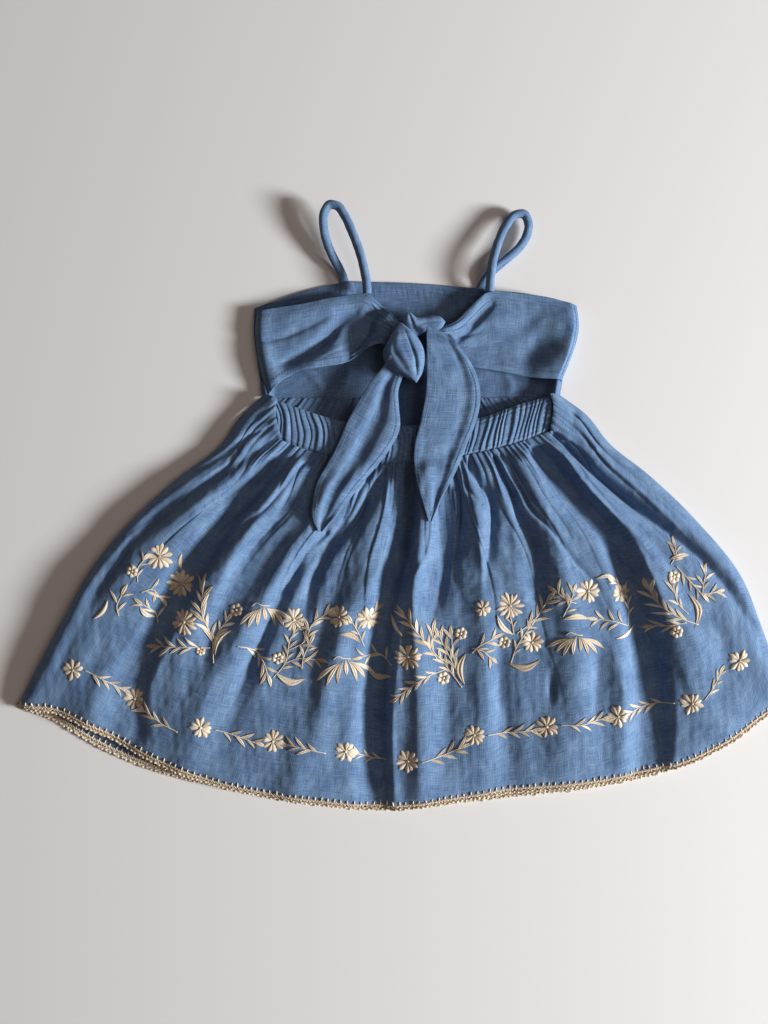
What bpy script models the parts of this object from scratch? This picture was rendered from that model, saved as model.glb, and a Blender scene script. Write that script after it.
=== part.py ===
"""Toddler's tie-back sundress in linen, laid out flat on its front.

X runs across the dress, Y from the hem to the straps, Z up from the surface that it lies on.
The origin is on that surface, under the middle of the whole outline.
The front lies underneath, flat on the surface, and the back lies on it with its folds.
Every size below is in millimetres, and the meshes are made in metres.
"""
from collections import namedtuple

import bmesh
import bpy
import numpy as np

MM = 0.001
MIDDLE = np.array((-0.923, 4.584, 0.0))     # moves the drawing's zero to the middle of the outline

# Driving sizes
CLOTH = 1.2                 # wall of one layer of linen with its turnings
TIE_CLOTH = 2.0             # wall of a tie, two layers turned through
BAND_CLOTH = 2.0            # wall of the back waistband, two layers round its elastic
SEAM = 0.3                  # clear gap between sewn pieces
WAIST_Y = 82.5              # front waist seam
TURNING_SHARE = 0.08        # share of the bodice front taken by its turned top edge
TURNING_RISE = 0.7
STRAP_RADIUS = 3.5
EDGING_DEPTH = 5.0          # crocheted edging beyond the cloth
EDGING_THICK = 1.1
EDGING_PLACES = 67          # places along the hem that the edging passes through
BAND_GATHERS = 60           # gathers held by the elastic of the back waistband
GATHER_RISE = 1.1
FRONT_GATHERS = 46          # gathers of the skirt front into the bodice
FRONT_GATHER_RISE = 1.3
END_COLUMNS = 6             # columns of the skirt beside each end of the waistband
SPINE_POINTS = 25           # points read along the middle of a fold
SIDE_ROUND = 15.0           # how far in the skirt's side rounds over
HEM_FALL = 60.0             # how far in from its hem the skirt back falls towards the surface
HEM_SHARE = 0.6             # share of its height left at the hem
BODICE_ROUND = 9.0

UNDER_BACK = CLOTH + SEAM   # lowest point of what lies on the front

# Outlines, each a smooth line through a few places (x, y)
BODICE_TOP = [(-113.5, 152.0), (-79.0, 164.0), (-48.0, 171.0), (-10.0, 171.6), (30.0, 169.6),
              (64.0, 166.2), (99.0, 162.6), (134.5, 154.0)]
BODICE_LEFT = [(-113.5, 152.0), (-114.2, 134.0), (-111.5, 112.0), (-107.3, WAIST_Y + SEAM)]
BODICE_RIGHT = [(134.5, 154.0), (136.5, 141.0), (133.5, 123.0), (126.0, 107.0), (121.0, WAIST_Y + SEAM)]

SKIRT_LEFT = [(-107.3, WAIST_Y), (-126.0, 67.0), (-140.0, 47.0), (-174.7, 19.7), (-210.4, -13.5),
              (-241.8, -52.7), (-260.4, -86.0), (-283.2, -128.5), (-295.4, -152.6)]
SKIRT_RIGHT = [(121.0, WAIST_Y), (143.2, 69.0), (159.0, 49.0), (190.2, 23.5), (229.1, -14.4),
               (261.6, -55.9), (275.5, -89.9), (284.9, -115.6), (296.9, -149.4)]
HEM_BACK = [(-295.4, -152.6), (-264.3, -155.6), (-236.1, -168.2), (-196.4, -189.8), (-137.2, -212.6),
            (-58.6, -226.5), (-17.0, -230.6), (20.7, -226.5), (78.5, -217.6), (154.7, -209.5),
            (211.7, -197.2), (249.9, -177.5), (282.7, -155.0), (296.9, -149.4)]
HEM_FRONT = [(-295.4, -152.6), (-270.0, -161.5), (-236.8, -181.0), (-197.3, -198.7), (-137.2, -214.6),
             (-58.6, -227.5), (-17.0, -231.4), (40.2, -226.0), (78.9, -221.6), (155.5, -212.5),
             (211.7, -198.4), (249.9, -178.5), (282.7, -155.5), (296.9, -149.4)]

BAND_TOP = [(-98.0, 80.0), (-74.0, 71.8), (-48.0, 64.2), (-18.0, 60.6), (6.0, 60.3), (34.0, 62.6),
            (61.0, 66.6), (90.0, 76.6), (115.4, 83.6)]
BAND_FOOT = [(-94.6, 50.6), (-74.0, 42.6), (-48.0, 35.4), (-18.0, 31.4), (6.0, 31.8), (34.0, 35.6),
             (61.0, 40.6), (90.0, 48.2), (115.4, 57.6)]

LEFT_PANEL_TOP = [(-112.6, 147.8), (-95.0, 150.4), (-78.1, 152.8), (-47.5, 158.4), (-26.5, 159.4),
                  (-17.0, 152.6), (-8.0, 144.0), (0.0, 135.0)]
LEFT_PANEL_FOOT = [(-103.6, 83.8), (-92.0, 95.2), (-78.1, 102.8), (-62.0, 105.4), (-38.3, 111.2),
                   (-30.0, 117.4), (-17.0, 122.8), (-6.0, 121.0)]
LEFT_PANEL_SIDE = [(-112.6, 147.8), (-113.4, 134.0), (-111.0, 112.0), (-103.6, 83.8)]
RIGHT_PANEL_TOP = [(134.2, 152.2), (112.9, 158.0), (89.8, 161.0), (65.3, 161.6), (51.5, 150.0),
                   (40.0, 138.6), (28.0, 133.6), (19.0, 131.4)]
RIGHT_PANEL_FOOT = [(123.0, 95.4), (100.1, 97.4), (80.1, 101.4), (62.4, 104.3), (53.1, 105.6),
                    (40.1, 111.4), (29.0, 116.0), (21.0, 118.6)]
RIGHT_PANEL_SIDE = [(134.2, 152.2), (136.2, 141.0), (133.2, 123.0), (123.0, 95.4)]

LEFT_TAIL_OUTER = [(-13.8, 105.4), (-23.0, 93.6), (-31.3, 80.8), (-40.4, 64.8), (-48.6, 45.8),
                   (-56.5, 29.9), (-63.6, 17.1), (-66.6, 3.0), (-66.7, -11.5), (-62.5, -20.4)]
LEFT_TAIL_INNER = [(-1.6, 97.2), (-4.0, 85.3), (-3.0, 74.0), (-2.2, 60.0), (-12.4, 39.0),
                   (-22.0, 27.0), (-31.3, 15.9), (-42.0, 2.0), (-52.0, -11.0), (-60.4, -20.0)]
RIGHT_TAIL_OUTER = [(19.8, 131.0), (19.8, 119.7), (19.2, 104.0), (18.5, 89.9), (14.0, 62.5),
                    (9.4, 43.6), (9.7, 25.4), (14.6, 4.4), (19.6, -12.6)]
RIGHT_TAIL_INNER = [(36.5, 127.0), (44.4, 117.4), (53.4, 104.0), (58.6, 85.1), (56.6, 67.0),
                    (49.3, 48.1), (39.2, 23.9), (28.9, 4.4), (21.4, -12.8)]
KNOT_OUTLINE = [(-1.9, 138.8), (6.0, 132.6), (12.5, 125.5), (16.4, 117.0), (14.6, 108.0),
                (10.6, 92.4), (-1.0, 98.0), (-11.6, 105.2), (-14.9, 114.8), (-9.0, 128.0)]
LOOP_OUTLINE = [(2.4, 142.6), (6.0, 146.6), (12.0, 144.2), (21.0, 142.6), (29.8, 142.6),
                (32.4, 139.0), (27.0, 130.6), (20.0, 131.9), (9.0, 133.4), (3.4, 137.0)]

# Heights of the skirt back over the surface, from the waist down (y, height)
SKIRT_LEVEL = [(90.0, 8.0), (55.0, 8.6), (25.0, 11.6), (-40.0, 15.2), (-130.0, 14.6), (-235.0, 10.5)]
BAND_LEVEL = 9.4
PANEL_END_LEVEL = 13.6      # top of each back panel where it runs in under the knot
PANEL_RISE = ([0.0, 0.3, 0.72, 0.92, 1.0], [7.2, 8.0, 10.0, 12.1, 12.1])
KNOT_FLOOR = PANEL_END_LEVEL + 2 * SEAM
TIE_FLOOR = PANEL_END_LEVEL + SEAM
KNOT_RISE = 10.5
LOOP_RISE = 6.5

# A soft ridge (rise above 0) or trough (below 0): its middle line, its half width at both ends,
# its rise, how strong it is at both ends, and how far it leans over to its left side
Fold = namedtuple("Fold", "path half_width rise strength lean")
SKIRT_FOLDS = [
    Fold([(-96, 50), (-143, 19), (-176, -4), (-205, -25), (-235, -70)], (4, 8), -5.5, (0.7, 0.4), 0.0),
    Fold([(-84, 48), (-113, 19), (-149, -6), (-160, -15)], (3, 5), -3.5, (0.8, 0.2), 0.0),
    Fold([(-82, 40), (-125, -5), (-155, -50), (-190, -105), (-206, -140), (-208, -170)], (5, 17), -9.5,
         (0.7, 0.5), 0.1),
    Fold([(-58, -22), (-83, -56), (-110, -112), (-130, -166)], (5, 7), -6.0, (0.6, 0.4), 0.0),
    Fold([(-10, 29), (-33, -9), (-62, -42), (-72, -75)], (4, 6), -4.5, (0.8, 0.3), 0.1),
    Fold([(8, 25), (6, -10), (-5, -60), (-14, -110), (-18, -165), (-17, -226)], (6, 13), -9.5,
         (0.7, 0.9), -0.3),
    Fold([(40, 24), (44, -9), (39, -60)], (3, 6), -4.5, (0.8, 0.4), 0.0),
    Fold([(51, 30), (67, 1), (67, -22), (62, -57)], (4, 7), -4.5, (0.7, 0.3), 0.2),
    Fold([(70, 36), (85, 1), (98, -34), (103, -69)], (3, 8), -4.5, (0.8, 0.5), 0.0),
    Fold([(100, 40), (126, 5), (150, -22), (173, -64), (190, -110), (196, -150), (195, -210)], (4, 15), -9.5,
         (0.6, 0.6), 0.1),
    Fold([(116, 53), (153, 17), (189, -12), (223, -38), (258, -78), (276, -108)], (4, 8), -5.5,
         (0.6, 0.5), 0.0),
    Fold([(75, -107), (80, -210)], (9, 12), -3.5, (0.5, 0.8), 0.0),
    Fold([(147, -110), (152, -150)], (8, 9), -2.5, (0.5, 0.5), 0.0),
    Fold([(-110, 40), (-160, -5), (-215, -60)], (6, 14), 4.0, (0.6, 0.5), 0.0),
    Fold([(-75, 30), (-120, -20), (-185, -100), (-235, -160)], (7, 16), 5.0, (0.5, 0.5), 0.0),
    Fold([(-40, 28), (-80, -35), (-140, -130), (-165, -195)], (7, 15), 5.5, (0.6, 0.6), 0.0),
    Fold([(-8, 20), (-28, -50), (-60, -140), (-80, -215)], (6, 15), 4.5, (0.4, 0.7), 0.0),
    Fold([(18, 25), (10, -40), (12, -130), (15, -222)], (5, 12), 6.0, (0.4, 0.9), 0.3),
    Fold([(52, 30), (58, -40), (62, -140), (60, -215)], (6, 16), 3.5, (0.4, 0.5), 0.0),
    Fold([(88, 42), (118, -40), (130, -130), (125, -205)], (6, 15), 5.0, (0.5, 0.5), 0.0),
    Fold([(120, 48), (165, -20), (215, -100), (235, -170)], (7, 16), 5.5, (0.5, 0.5), 0.0),
    Fold([(140, 45), (200, -10), (250, -60)], (6, 12), 3.5, (0.5, 0.4), 0.0),
]
LEFT_PANEL_FOLDS = [
    Fold([(-105, 115), (-70, 134), (-44, 148)], (7, 7), -2.6, (0.3, 0.8), 0.0),
    Fold([(-40, 142), (-24, 136), (-12, 132)], (9, 7), -4.5, (0.8, 0.6), 0.0),
    Fold([(-92, 92), (-62, 110), (-38, 120), (-14, 127)], (8, 6), 3.4, (0.5, 0.6), 0.0),
    Fold([(-96, 140), (-60, 150), (-30, 153)], (7, 6), 2.0, (0.4, 0.6), 0.0),
]
RIGHT_PANEL_FOLDS = [
    Fold([(122, 130), (112, 120), (98, 116)], (10, 10), -4.0, (0.7, 0.4), 0.0),
    Fold([(36, 124), (64, 118), (96, 112)], (5, 8), -2.6, (0.7, 0.3), 0.0),
    Fold([(34, 130), (60, 138), (96, 142)], (6, 10), 2.2, (0.7, 0.3), 0.0),
    Fold([(40, 116), (66, 108), (100, 103)], (4, 6), 1.8, (0.6, 0.5), 0.0),
]

KNOT_CREASES = [
    Fold([(9, 122), (7, 108), (10, 96)], (3, 3), -2.2, (0.4, 0.8), 0.0),
]

# Rise of a tie's folds across its width (place from outer to inner edge, rise)
LEFT_TAIL_SECTION = [(0.0, 0.0), (0.22, 3.6), (0.5, 0.3), (0.78, 3.0), (1.0, 0.2)]
RIGHT_TAIL_SECTION = [(0.0, 1.2), (0.25, 3.4), (0.5, 1.6), (0.72, 3.6), (1.0, 0.0)]

# Routes of the straps, from the bodice front over to the back panel (x, y, z)
LEFT_STRAP_ROUTE = [(-44.4, 172.1, 3.9), (-45.2, 176.4, 4.8), (-52.3, 188.0, 10.0), (-57.0, 198.4, 15.0),
                    (-59.4, 209.4, 19.0), (-58.8, 218.6, 21.5), (-54.6, 224.4, 22.8), (-48.8, 223.4, 23.0),
                    (-43.6, 216.6, 22.4), (-37.4, 203.4, 20.6), (-32.0, 189.7, 18.0), (-28.8, 177.3, 15.2),
                    (-27.0, 167.0, 12.4), (-26.8, 160.7, 11.4)]
RIGHT_STRAP_ROUTE = [(61.4, 167.3, 3.9), (62.6, 171.8, 4.4), (71.0, 181.0, 7.4), (79.6, 187.6, 10.0),
                     (88.2, 194.6, 14.0), (93.4, 202.6, 18.0), (94.4, 211.2, 21.0), (90.6, 217.2, 22.8),
                     (84.0, 216.6, 23.2), (77.4, 209.1, 23.0), (72.2, 198.1, 22.0), (68.4, 185.5, 19.6),
                     (66.8, 173.6, 15.4), (66.4, 162.4, 11.2)]
STRAP_RINGS = 30
PEBBLE_SIDES = 24
PEBBLE_RINGS = [(0.97, 0.0), (1.0, 0.3), (0.9, 0.62), (0.68, 0.86), (0.36, 0.97)]   # size, share of the rise
TIE_REACH = 4.0             # how far round it a tie finds what carries it
ROW_PARTS = 8               # parts that each row of a wall is split into where a tie looks for it

SKIRT_BACK_ROWS = [0.0, 0.03, 0.08, 0.15, 0.24, 0.35, 0.47, 0.6, 0.74, 0.87, 1.0]
SKIRT_FRONT_ROWS = [0.0, 0.04, 0.1, 0.22, 0.48, 0.76, 1.0]

# Finishes: colour, roughness
LINEN = (0.120, 0.205, 0.420)
LINEN_INSIDE = (0.095, 0.165, 0.350)
THREAD = (0.760, 0.640, 0.440)


def blend_through(stations, values, places):
    """Read a smooth curve that passes through the values at their stations."""
    stations = np.asarray(stations, float)
    values = np.asarray(values, float)
    slopes = np.gradient(values, stations, axis=0)
    places = np.clip(np.asarray(places, float), stations[0], stations[-1])
    cell = np.clip(np.searchsorted(stations, places, side="right") - 1, 0, len(stations) - 2)
    span = stations[cell + 1] - stations[cell]
    part = (places - stations[cell]) / span
    if values.ndim > 1:
        part = part[..., None]
        span = span[..., None]
    rest = 1.0 - part
    return (values[cell] * (1 + 2 * part) * rest ** 2 + slopes[cell] * span * part * rest ** 2
            + values[cell + 1] * (3 - 2 * part) * part ** 2 - slopes[cell + 1] * span * rest * part ** 2)


def smooth_path(points, places):
    """Points at the given shares of the length of a smooth line through a few places."""
    knots = np.asarray(points, float)
    steps = np.linalg.norm(np.diff(knots, axis=0), axis=1)
    stations = np.concatenate(([0.0], np.cumsum(steps))) / steps.sum()
    return blend_through(stations, knots, places)


def patch(top, foot, left, right, rows):
    """Plan points between four drawn edges, a row of points for each place from top to foot."""
    down = np.asarray(rows, float)[:, None, None]
    across = np.linspace(0.0, 1.0, len(top))[None, :, None]
    straight = (1 - down) * top[None] + down * foot[None]
    left_bow = left[:, None] - ((1 - down) * top[0] + down * foot[0])
    right_bow = right[:, None] - ((1 - down) * top[-1] + down * foot[-1])
    return straight + (1 - across) * left_bow + across * right_bow


def fold_relief(x, y, folds):
    """Height that the listed ridges and troughs add at plan points."""
    relief = np.zeros_like(x)
    shares = np.linspace(0.0, 1.0, SPINE_POINTS)
    for fold in folds:
        spine = smooth_path(fold.path, shares)
        heading = np.gradient(spine, axis=0)
        heading /= np.linalg.norm(heading, axis=1)[:, None]
        away_x = x[..., None] - spine[:, 0]
        away_y = y[..., None] - spine[:, 1]
        nearest = np.argmin(away_x ** 2 + away_y ** 2, axis=-1)
        away_x = np.take_along_axis(away_x, nearest[..., None], -1)[..., 0]
        away_y = np.take_along_axis(away_y, nearest[..., None], -1)[..., 0]
        distance = np.hypot(away_x, away_y)
        sideways = heading[nearest, 0] * away_y - heading[nearest, 1] * away_x
        share = shares[nearest]
        width = fold.half_width[0] + (fold.half_width[1] - fold.half_width[0]) * share
        width = width * (1 + fold.lean * sideways / (distance + 0.01))
        strength = blend_through([0.0, 0.5, 1.0], [fold.strength[0], 1.0, fold.strength[1]], share)
        relief += fold.rise * strength * np.exp(-(distance / width) ** 2)
    return relief


def rounding(inward, reach):
    """Share of the full height that a rounded side reaches at a distance in from its edge."""
    share = np.clip(inward / reach, 0.0, 1.0)
    return np.sqrt(1.0 - (1.0 - share) ** 2)


def at_height(plan, height):
    """Plan points with their heights."""
    return np.dstack((plan[..., 0], plan[..., 1], height))


def surface_normals(points):
    """Upward normals of a grid of points."""
    along = np.gradient(points, axis=0)
    across = np.gradient(points, axis=1)
    normals = np.cross(across, along)
    normals *= np.sign(normals[..., 2:3]) + (normals[..., 2:3] == 0)
    return normals / np.linalg.norm(normals, axis=2)[..., None]


def wall_object(name, outer, inner, material):
    """A closed cloth wall between its outer and inner grids of points."""
    rows, columns = outer.shape[:2]
    mesh = bpy.data.meshes.new(name)
    body = bmesh.new()
    skins = []
    for grid in (outer, inner):
        places = (grid + MIDDLE) * MM
        skins.append([[body.verts.new(places[r, c]) for c in range(columns)] for r in range(rows)])
    for skin in skins:
        for r in range(rows - 1):
            for c in range(columns - 1):
                body.faces.new((skin[r][c], skin[r][c + 1], skin[r + 1][c + 1], skin[r + 1][c]))
    rim = [(0, c) for c in range(columns)] + [(r, columns - 1) for r in range(1, rows)]
    rim += [(rows - 1, c) for c in range(columns - 2, -1, -1)] + [(r, 0) for r in range(rows - 2, 0, -1)]
    for here, there in zip(rim, rim[1:] + rim[:1]):
        body.faces.new((skins[0][here[0]][here[1]], skins[1][here[0]][here[1]],
                        skins[1][there[0]][there[1]], skins[0][there[0]][there[1]]))
    bmesh.ops.recalc_face_normals(body, faces=body.faces)
    body.to_mesh(mesh)
    body.free()
    return add_object(name, mesh, material)


def add_object(name, data, material):
    """A named object in the dress's collection, with its material."""
    part = bpy.data.objects.new(name, data)
    data.materials.append(material)
    dress_collection().objects.link(part)
    return part


def dress_collection():
    """The collection that holds every piece."""
    collection = bpy.data.collections.get("sundress")
    if collection is None:
        collection = bpy.data.collections.new("sundress")
        bpy.context.scene.collection.children.link(collection)
    return collection


def finish(name, colour, roughness):
    """A plain material of the piece's colour."""
    material = bpy.data.materials.new(name)
    material.use_nodes = True
    shader = material.node_tree.nodes["Principled BSDF"]
    shader.inputs["Base Color"].default_value = (*colour, 1.0)
    shader.inputs["Roughness"].default_value = roughness
    shader.inputs["Metallic"].default_value = 0.0
    material.diffuse_color = (*colour, 1.0)
    return material


def skirt_surface(x, y):
    """Height of the skirt back at plan points, without its gathers."""
    stations = np.array(SKIRT_LEVEL)[::-1]
    level = blend_through(stations[:, 0], stations[:, 1], y)
    return level + fold_relief(x, y, SKIRT_FOLDS)


def comb(columns, gathers, rise):
    """Ridge and valley heights along a gathered edge, one ridge and one valley a gather."""
    place = np.arange(columns)
    uneven = 1.0 + 0.25 * np.sin(place * 0.9) * np.sin(place * 0.37 + 1.0)
    period = (columns - 1) / gathers
    return rise * uneven * (place % period >= period / 2)


def skirt_back_waist():
    """Plan points along the waist edge of the skirt back, round both ends of the waistband."""
    foot = smooth_path(BAND_FOOT, np.linspace(0, 1, 2 * BAND_GATHERS + 1)) - (0.0, SEAM)
    ends = []
    corners = ((SKIRT_LEFT[0], BAND_TOP[0], foot[0], -1), (SKIRT_RIGHT[0], BAND_TOP[-1], foot[-1], 1))
    for corner, top, bottom, out in corners:
        upper = (top[0] + out * 2 * SEAM, top[1])
        lower = (bottom[0] + out * 2 * SEAM, bottom[1])
        run = [np.array(corner) + (np.array(upper) - corner) * share for share in (0.0, 0.5)]
        run += [np.array(upper) + (np.array(lower) - upper) * share for share in (0.0, 0.33, 0.66, 1.0)]
        ends.append(run)
    return np.array(ends[0][:END_COLUMNS] + list(foot) + ends[1][:END_COLUMNS][::-1])


def make_skirt_back(material):
    """The gathered back of the skirt, which lies on the front with all its folds."""
    waist = skirt_back_waist()
    columns = len(waist)
    hem = smooth_path(HEM_BACK, np.linspace(0, 1, columns))
    left = smooth_path(SKIRT_LEFT, SKIRT_BACK_ROWS)
    right = smooth_path(SKIRT_RIGHT, SKIRT_BACK_ROWS)
    plan = patch(waist, hem, left, right, SKIRT_BACK_ROWS)
    x, y = plan[..., 0], plan[..., 1]
    inward_left = np.linalg.norm(plan - plan[:, :1], axis=2)
    inward_right = np.linalg.norm(plan - plan[:, -1:], axis=2)
    inward_hem = np.linalg.norm(plan - plan[-1:], axis=2)
    round_over = rounding(inward_left, SIDE_ROUND) * rounding(inward_right, SIDE_ROUND)
    round_over *= HEM_SHARE + (1 - HEM_SHARE) * rounding(inward_hem, HEM_FALL)
    height = UNDER_BACK + skirt_surface(x, y) * round_over
    height[:, 1:-1] = np.maximum(height[:, 1:-1], UNDER_BACK + CLOTH)
    height[:, 0] = UNDER_BACK
    height[:, -1] = UNDER_BACK
    plain = at_height(plan, height)
    normals = surface_normals(plain)
    normals[0] = (0, 0, 1)
    normals[-1] = (0, 0, 1)
    inner = plain - CLOTH * normals
    inner[..., 2] = np.maximum(inner[..., 2], UNDER_BACK)
    for edge, out in ((0, -1), (-1, 1)):
        inner[:, edge] = plain[:, edge] - (out * CLOTH, 0, 0)
    fade = np.interp(SKIRT_BACK_ROWS, [0.0, 0.1, 0.3], [1.0, 0.8, 0.0])[:, None]
    gathers = comb(columns, (columns - 1) / 2, GATHER_RISE)[None] * fade * round_over
    outer = plain.copy()
    outer[..., 2] += gathers
    wall_object("skirt_back", outer, inner, material)
    return outer, inner


def make_skirt_front(material):
    """The front of the skirt, flat on the surface, with its gathers raised near the waist."""
    columns = 2 * FRONT_GATHERS + 1
    waist = np.linspace(SKIRT_LEFT[0], SKIRT_RIGHT[0], columns)
    hem = smooth_path(HEM_FRONT, np.linspace(0, 1, columns))
    left = smooth_path(SKIRT_LEFT, SKIRT_FRONT_ROWS)
    right = smooth_path(SKIRT_RIGHT, SKIRT_FRONT_ROWS)
    plan = patch(waist, hem, left, right, SKIRT_FRONT_ROWS)
    fade = np.interp(SKIRT_FRONT_ROWS, [0.0, 0.1, 0.25], [1.0, 1.0, 0.0])[:, None]
    inward = np.minimum(np.arange(columns), np.arange(columns)[::-1])[None]
    gathers = comb(columns, FRONT_GATHERS, FRONT_GATHER_RISE)[None] * fade * np.clip(inward / 8 - 1, 0, 1)
    outer = at_height(plan, CLOTH + gathers)
    inner = at_height(plan, np.zeros(plan.shape[:2]))
    wall_object("skirt_front", outer, inner, material)
    return outer


def make_waistband(material):
    """The back waistband, drawn up in fine gathers by the elastic in it."""
    columns = 2 * BAND_GATHERS + 1
    places = np.linspace(0, 1, columns)
    rows = np.array([0.0, 0.5, 1.0])
    top = smooth_path(BAND_TOP, places)
    foot = smooth_path(BAND_FOOT, places)
    plan = top[None] + (foot - top)[None] * rows[:, None, None]
    crown = np.array([0.0, 0.6, 0.0])[:, None]
    level = BAND_LEVEL + crown + np.zeros(plan.shape[:2])
    outer = at_height(plan, level + comb(columns, BAND_GATHERS, GATHER_RISE)[None])
    inner = at_height(plan, level - BAND_CLOTH)
    wall_object("waistband_back", outer, inner, material)
    return outer


def make_bodice_front(material):
    """The front bodice, flat on the surface, with a turned top edge."""
    columns = 21
    rows = np.array([0.0, TURNING_SHARE, TURNING_SHARE + 0.015, 0.3, 0.55, 0.8, 1.0])
    top = smooth_path(BODICE_TOP, np.linspace(0, 1, columns))
    foot = np.linspace(BODICE_LEFT[-1], BODICE_RIGHT[-1], columns)
    plan = patch(top, foot, smooth_path(BODICE_LEFT, rows), smooth_path(BODICE_RIGHT, rows), rows)
    turned = np.repeat((rows <= TURNING_SHARE)[:, None], columns, axis=1)
    inner_face = CLOTH + TURNING_RISE * turned
    inner_face[:, 0] = CLOTH
    inner_face[:, -1] = CLOTH
    outer = at_height(plan, inner_face)
    inner = at_height(plan, np.zeros(plan.shape[:2]))
    wall_object("front_bodice", outer, inner, material)


def make_back_panel(name, top_line, foot_line, side_line, folds, material):
    """One side of the back bodice, from its side seam in to the knot."""
    across = np.linspace(0, 1, 19)
    rows = np.linspace(0, 1, 9)
    top = smooth_path(top_line, across)
    foot = smooth_path(foot_line, across)
    end = top[-1] + (foot[-1] - top[-1]) * rows[:, None]
    plan = patch(top, foot, smooth_path(side_line, rows), end, rows)
    x, y = plan[..., 0], plan[..., 1]
    inward = np.linalg.norm(plan - plan[:, :1], axis=2)
    reach = inward.max()
    rise = blend_through(PANEL_RISE[0], PANEL_RISE[1], inward / reach)
    near_end = np.clip((reach - inward) / 14.0, 0.0, 1.0)
    relief = fold_relief(x, y, folds) * near_end
    height = UNDER_BACK + np.maximum(rise + relief, 2 * CLOTH) * rounding(inward, BODICE_ROUND)
    height[:, 1:] = np.maximum(height[:, 1:], UNDER_BACK + TURNING_RISE + CLOTH)
    height[:, 0] = UNDER_BACK
    outer = at_height(plan, height)
    normals = surface_normals(outer)
    normals[0] = (0, 0, 1)
    normals[-1] = (0, 0, 1)
    normals[:, -1] = (0, 0, 1)
    inner = outer - CLOTH * normals
    inner[..., 2] = np.maximum(inner[..., 2], UNDER_BACK)
    inward_x = np.sign(plan[4, 5, 0] - plan[4, 0, 0])
    inner[:, 0] = outer[:, 0] + (inward_x * CLOTH, 0, 0)
    wall_object(name, outer, inner, material)


def between_rows(grid):
    """The grid's points with more rows filled in evenly between its own."""
    places = np.arange((len(grid) - 1) * ROW_PARTS + 1) / ROW_PARTS
    lower = np.minimum(places.astype(int), len(grid) - 2)
    part = (places - lower)[:, None, None]
    return grid[lower] * (1 - part) + grid[lower + 1] * part


def highest_under(plan, grids):
    """Highest point of the given grids near each plan point, or 0 where nothing is near."""
    points = np.concatenate([between_rows(grid).reshape(-1, 3) for grid in grids])
    apart = np.linalg.norm(plan[..., None, :] - points[:, :2], axis=-1)
    return np.where(apart < TIE_REACH, points[:, 2], 0.0).max(axis=-1)


def tie_bed(plan, grids, start):
    """Height of the bed that each row of a tie lies on, falling from the knot to the waistband."""
    under = highest_under(plan, grids).max(axis=1)
    first = int(np.argmax(under > 0))
    under[:first] = 0.0
    under = np.maximum(under, np.maximum(np.append(under[1:], 0), np.append(0, under[:-1])))
    under[:first] = np.interp(np.arange(first), [0, 1, first], [start, start, under[first]])
    eased = np.convolve(np.pad(under, 1, mode="edge"), [0.25, 0.5, 0.25], mode="valid")
    return np.maximum(eased, under)


def make_tie_tail(name, outer_line, inner_line, section, grids, material):
    """A loose end of the tie, folded lengthwise, from the knot down to its point."""
    rows = np.linspace(0, 1, 19)
    places = np.linspace(0, 1, 9)
    outer_edge = smooth_path(outer_line, rows)
    inner_edge = smooth_path(inner_line, rows)
    plan = outer_edge[:, None] + (inner_edge - outer_edge)[:, None] * places[None, :, None]
    bed = tie_bed(plan, grids, TIE_FLOOR - SEAM)
    width = np.linalg.norm(inner_edge - outer_edge, axis=1)
    folds = np.array(section)
    profile = blend_through(folds[:, 0], folds[:, 1], places)
    swell = np.clip(width / 30.0, 0.0, 1.0)
    outer = at_height(plan, (bed + SEAM + TIE_CLOTH)[:, None] + swell[:, None] * profile[None])
    inner = at_height(plan, outer[..., 2] - TIE_CLOTH)
    wall_object(name, outer, inner, material)


def make_pebble(name, outline, rise, creases, material):
    """A rounded lump of tied cloth on a drawn outline, flat underneath."""
    outline_ring = smooth_path(outline + outline[:1], np.linspace(0, 1, PEBBLE_SIDES + 1)[:-1])
    centre = outline_ring.mean(axis=0)
    mesh = bpy.data.meshes.new(name)
    body = bmesh.new()
    rings = []
    for scale, share in PEBBLE_RINGS:
        spots = centre + (outline_ring - centre) * scale
        height = KNOT_FLOOR + rise * share + np.zeros(PEBBLE_SIDES)
        if share > 0.5:
            height += fold_relief(spots[:, 0], spots[:, 1], creases)
        places = (np.column_stack((spots, height)) + MIDDLE) * MM
        rings.append([body.verts.new(place) for place in places])
    foot = body.verts.new((np.array((*centre, KNOT_FLOOR)) + MIDDLE) * MM)
    crown = body.verts.new((np.array((*centre, KNOT_FLOOR + rise)) + MIDDLE) * MM)
    for lower, upper in zip(rings, rings[1:]):
        for i in range(PEBBLE_SIDES):
            j = (i + 1) % PEBBLE_SIDES
            body.faces.new((lower[i], lower[j], upper[j], upper[i]))
    for i in range(PEBBLE_SIDES):
        j = (i + 1) % PEBBLE_SIDES
        body.faces.new((rings[0][j], rings[0][i], foot))
        body.faces.new((rings[-1][i], rings[-1][j], crown))
    bmesh.ops.recalc_face_normals(body, faces=body.faces)
    body.to_mesh(mesh)
    body.free()
    add_object(name, mesh, material)


def make_edging(name, hem, underside, material):
    """The crocheted edging along a hem, as a plain strip beyond the cloth, level with its underside."""
    picks = np.linspace(0, len(hem) - 1, EDGING_PLACES).round().astype(int)
    edge = hem[picks]
    lowest = underside[picks]
    heading = np.gradient(edge[:, :2], axis=0)
    heading /= np.linalg.norm(heading, axis=1)[:, None]
    away = np.stack((heading[:, 1], -heading[:, 0]), axis=1)
    near = edge[:, :2] + away * SEAM
    far = edge[:, :2] + away * (SEAM + EDGING_DEPTH)
    top = lowest + EDGING_THICK
    outer = np.stack((np.column_stack((near, top)), np.column_stack((far, top))))
    inner = np.stack((np.column_stack((near, lowest)), np.column_stack((far, lowest))))
    wall_object(name, outer, inner, material)


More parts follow.
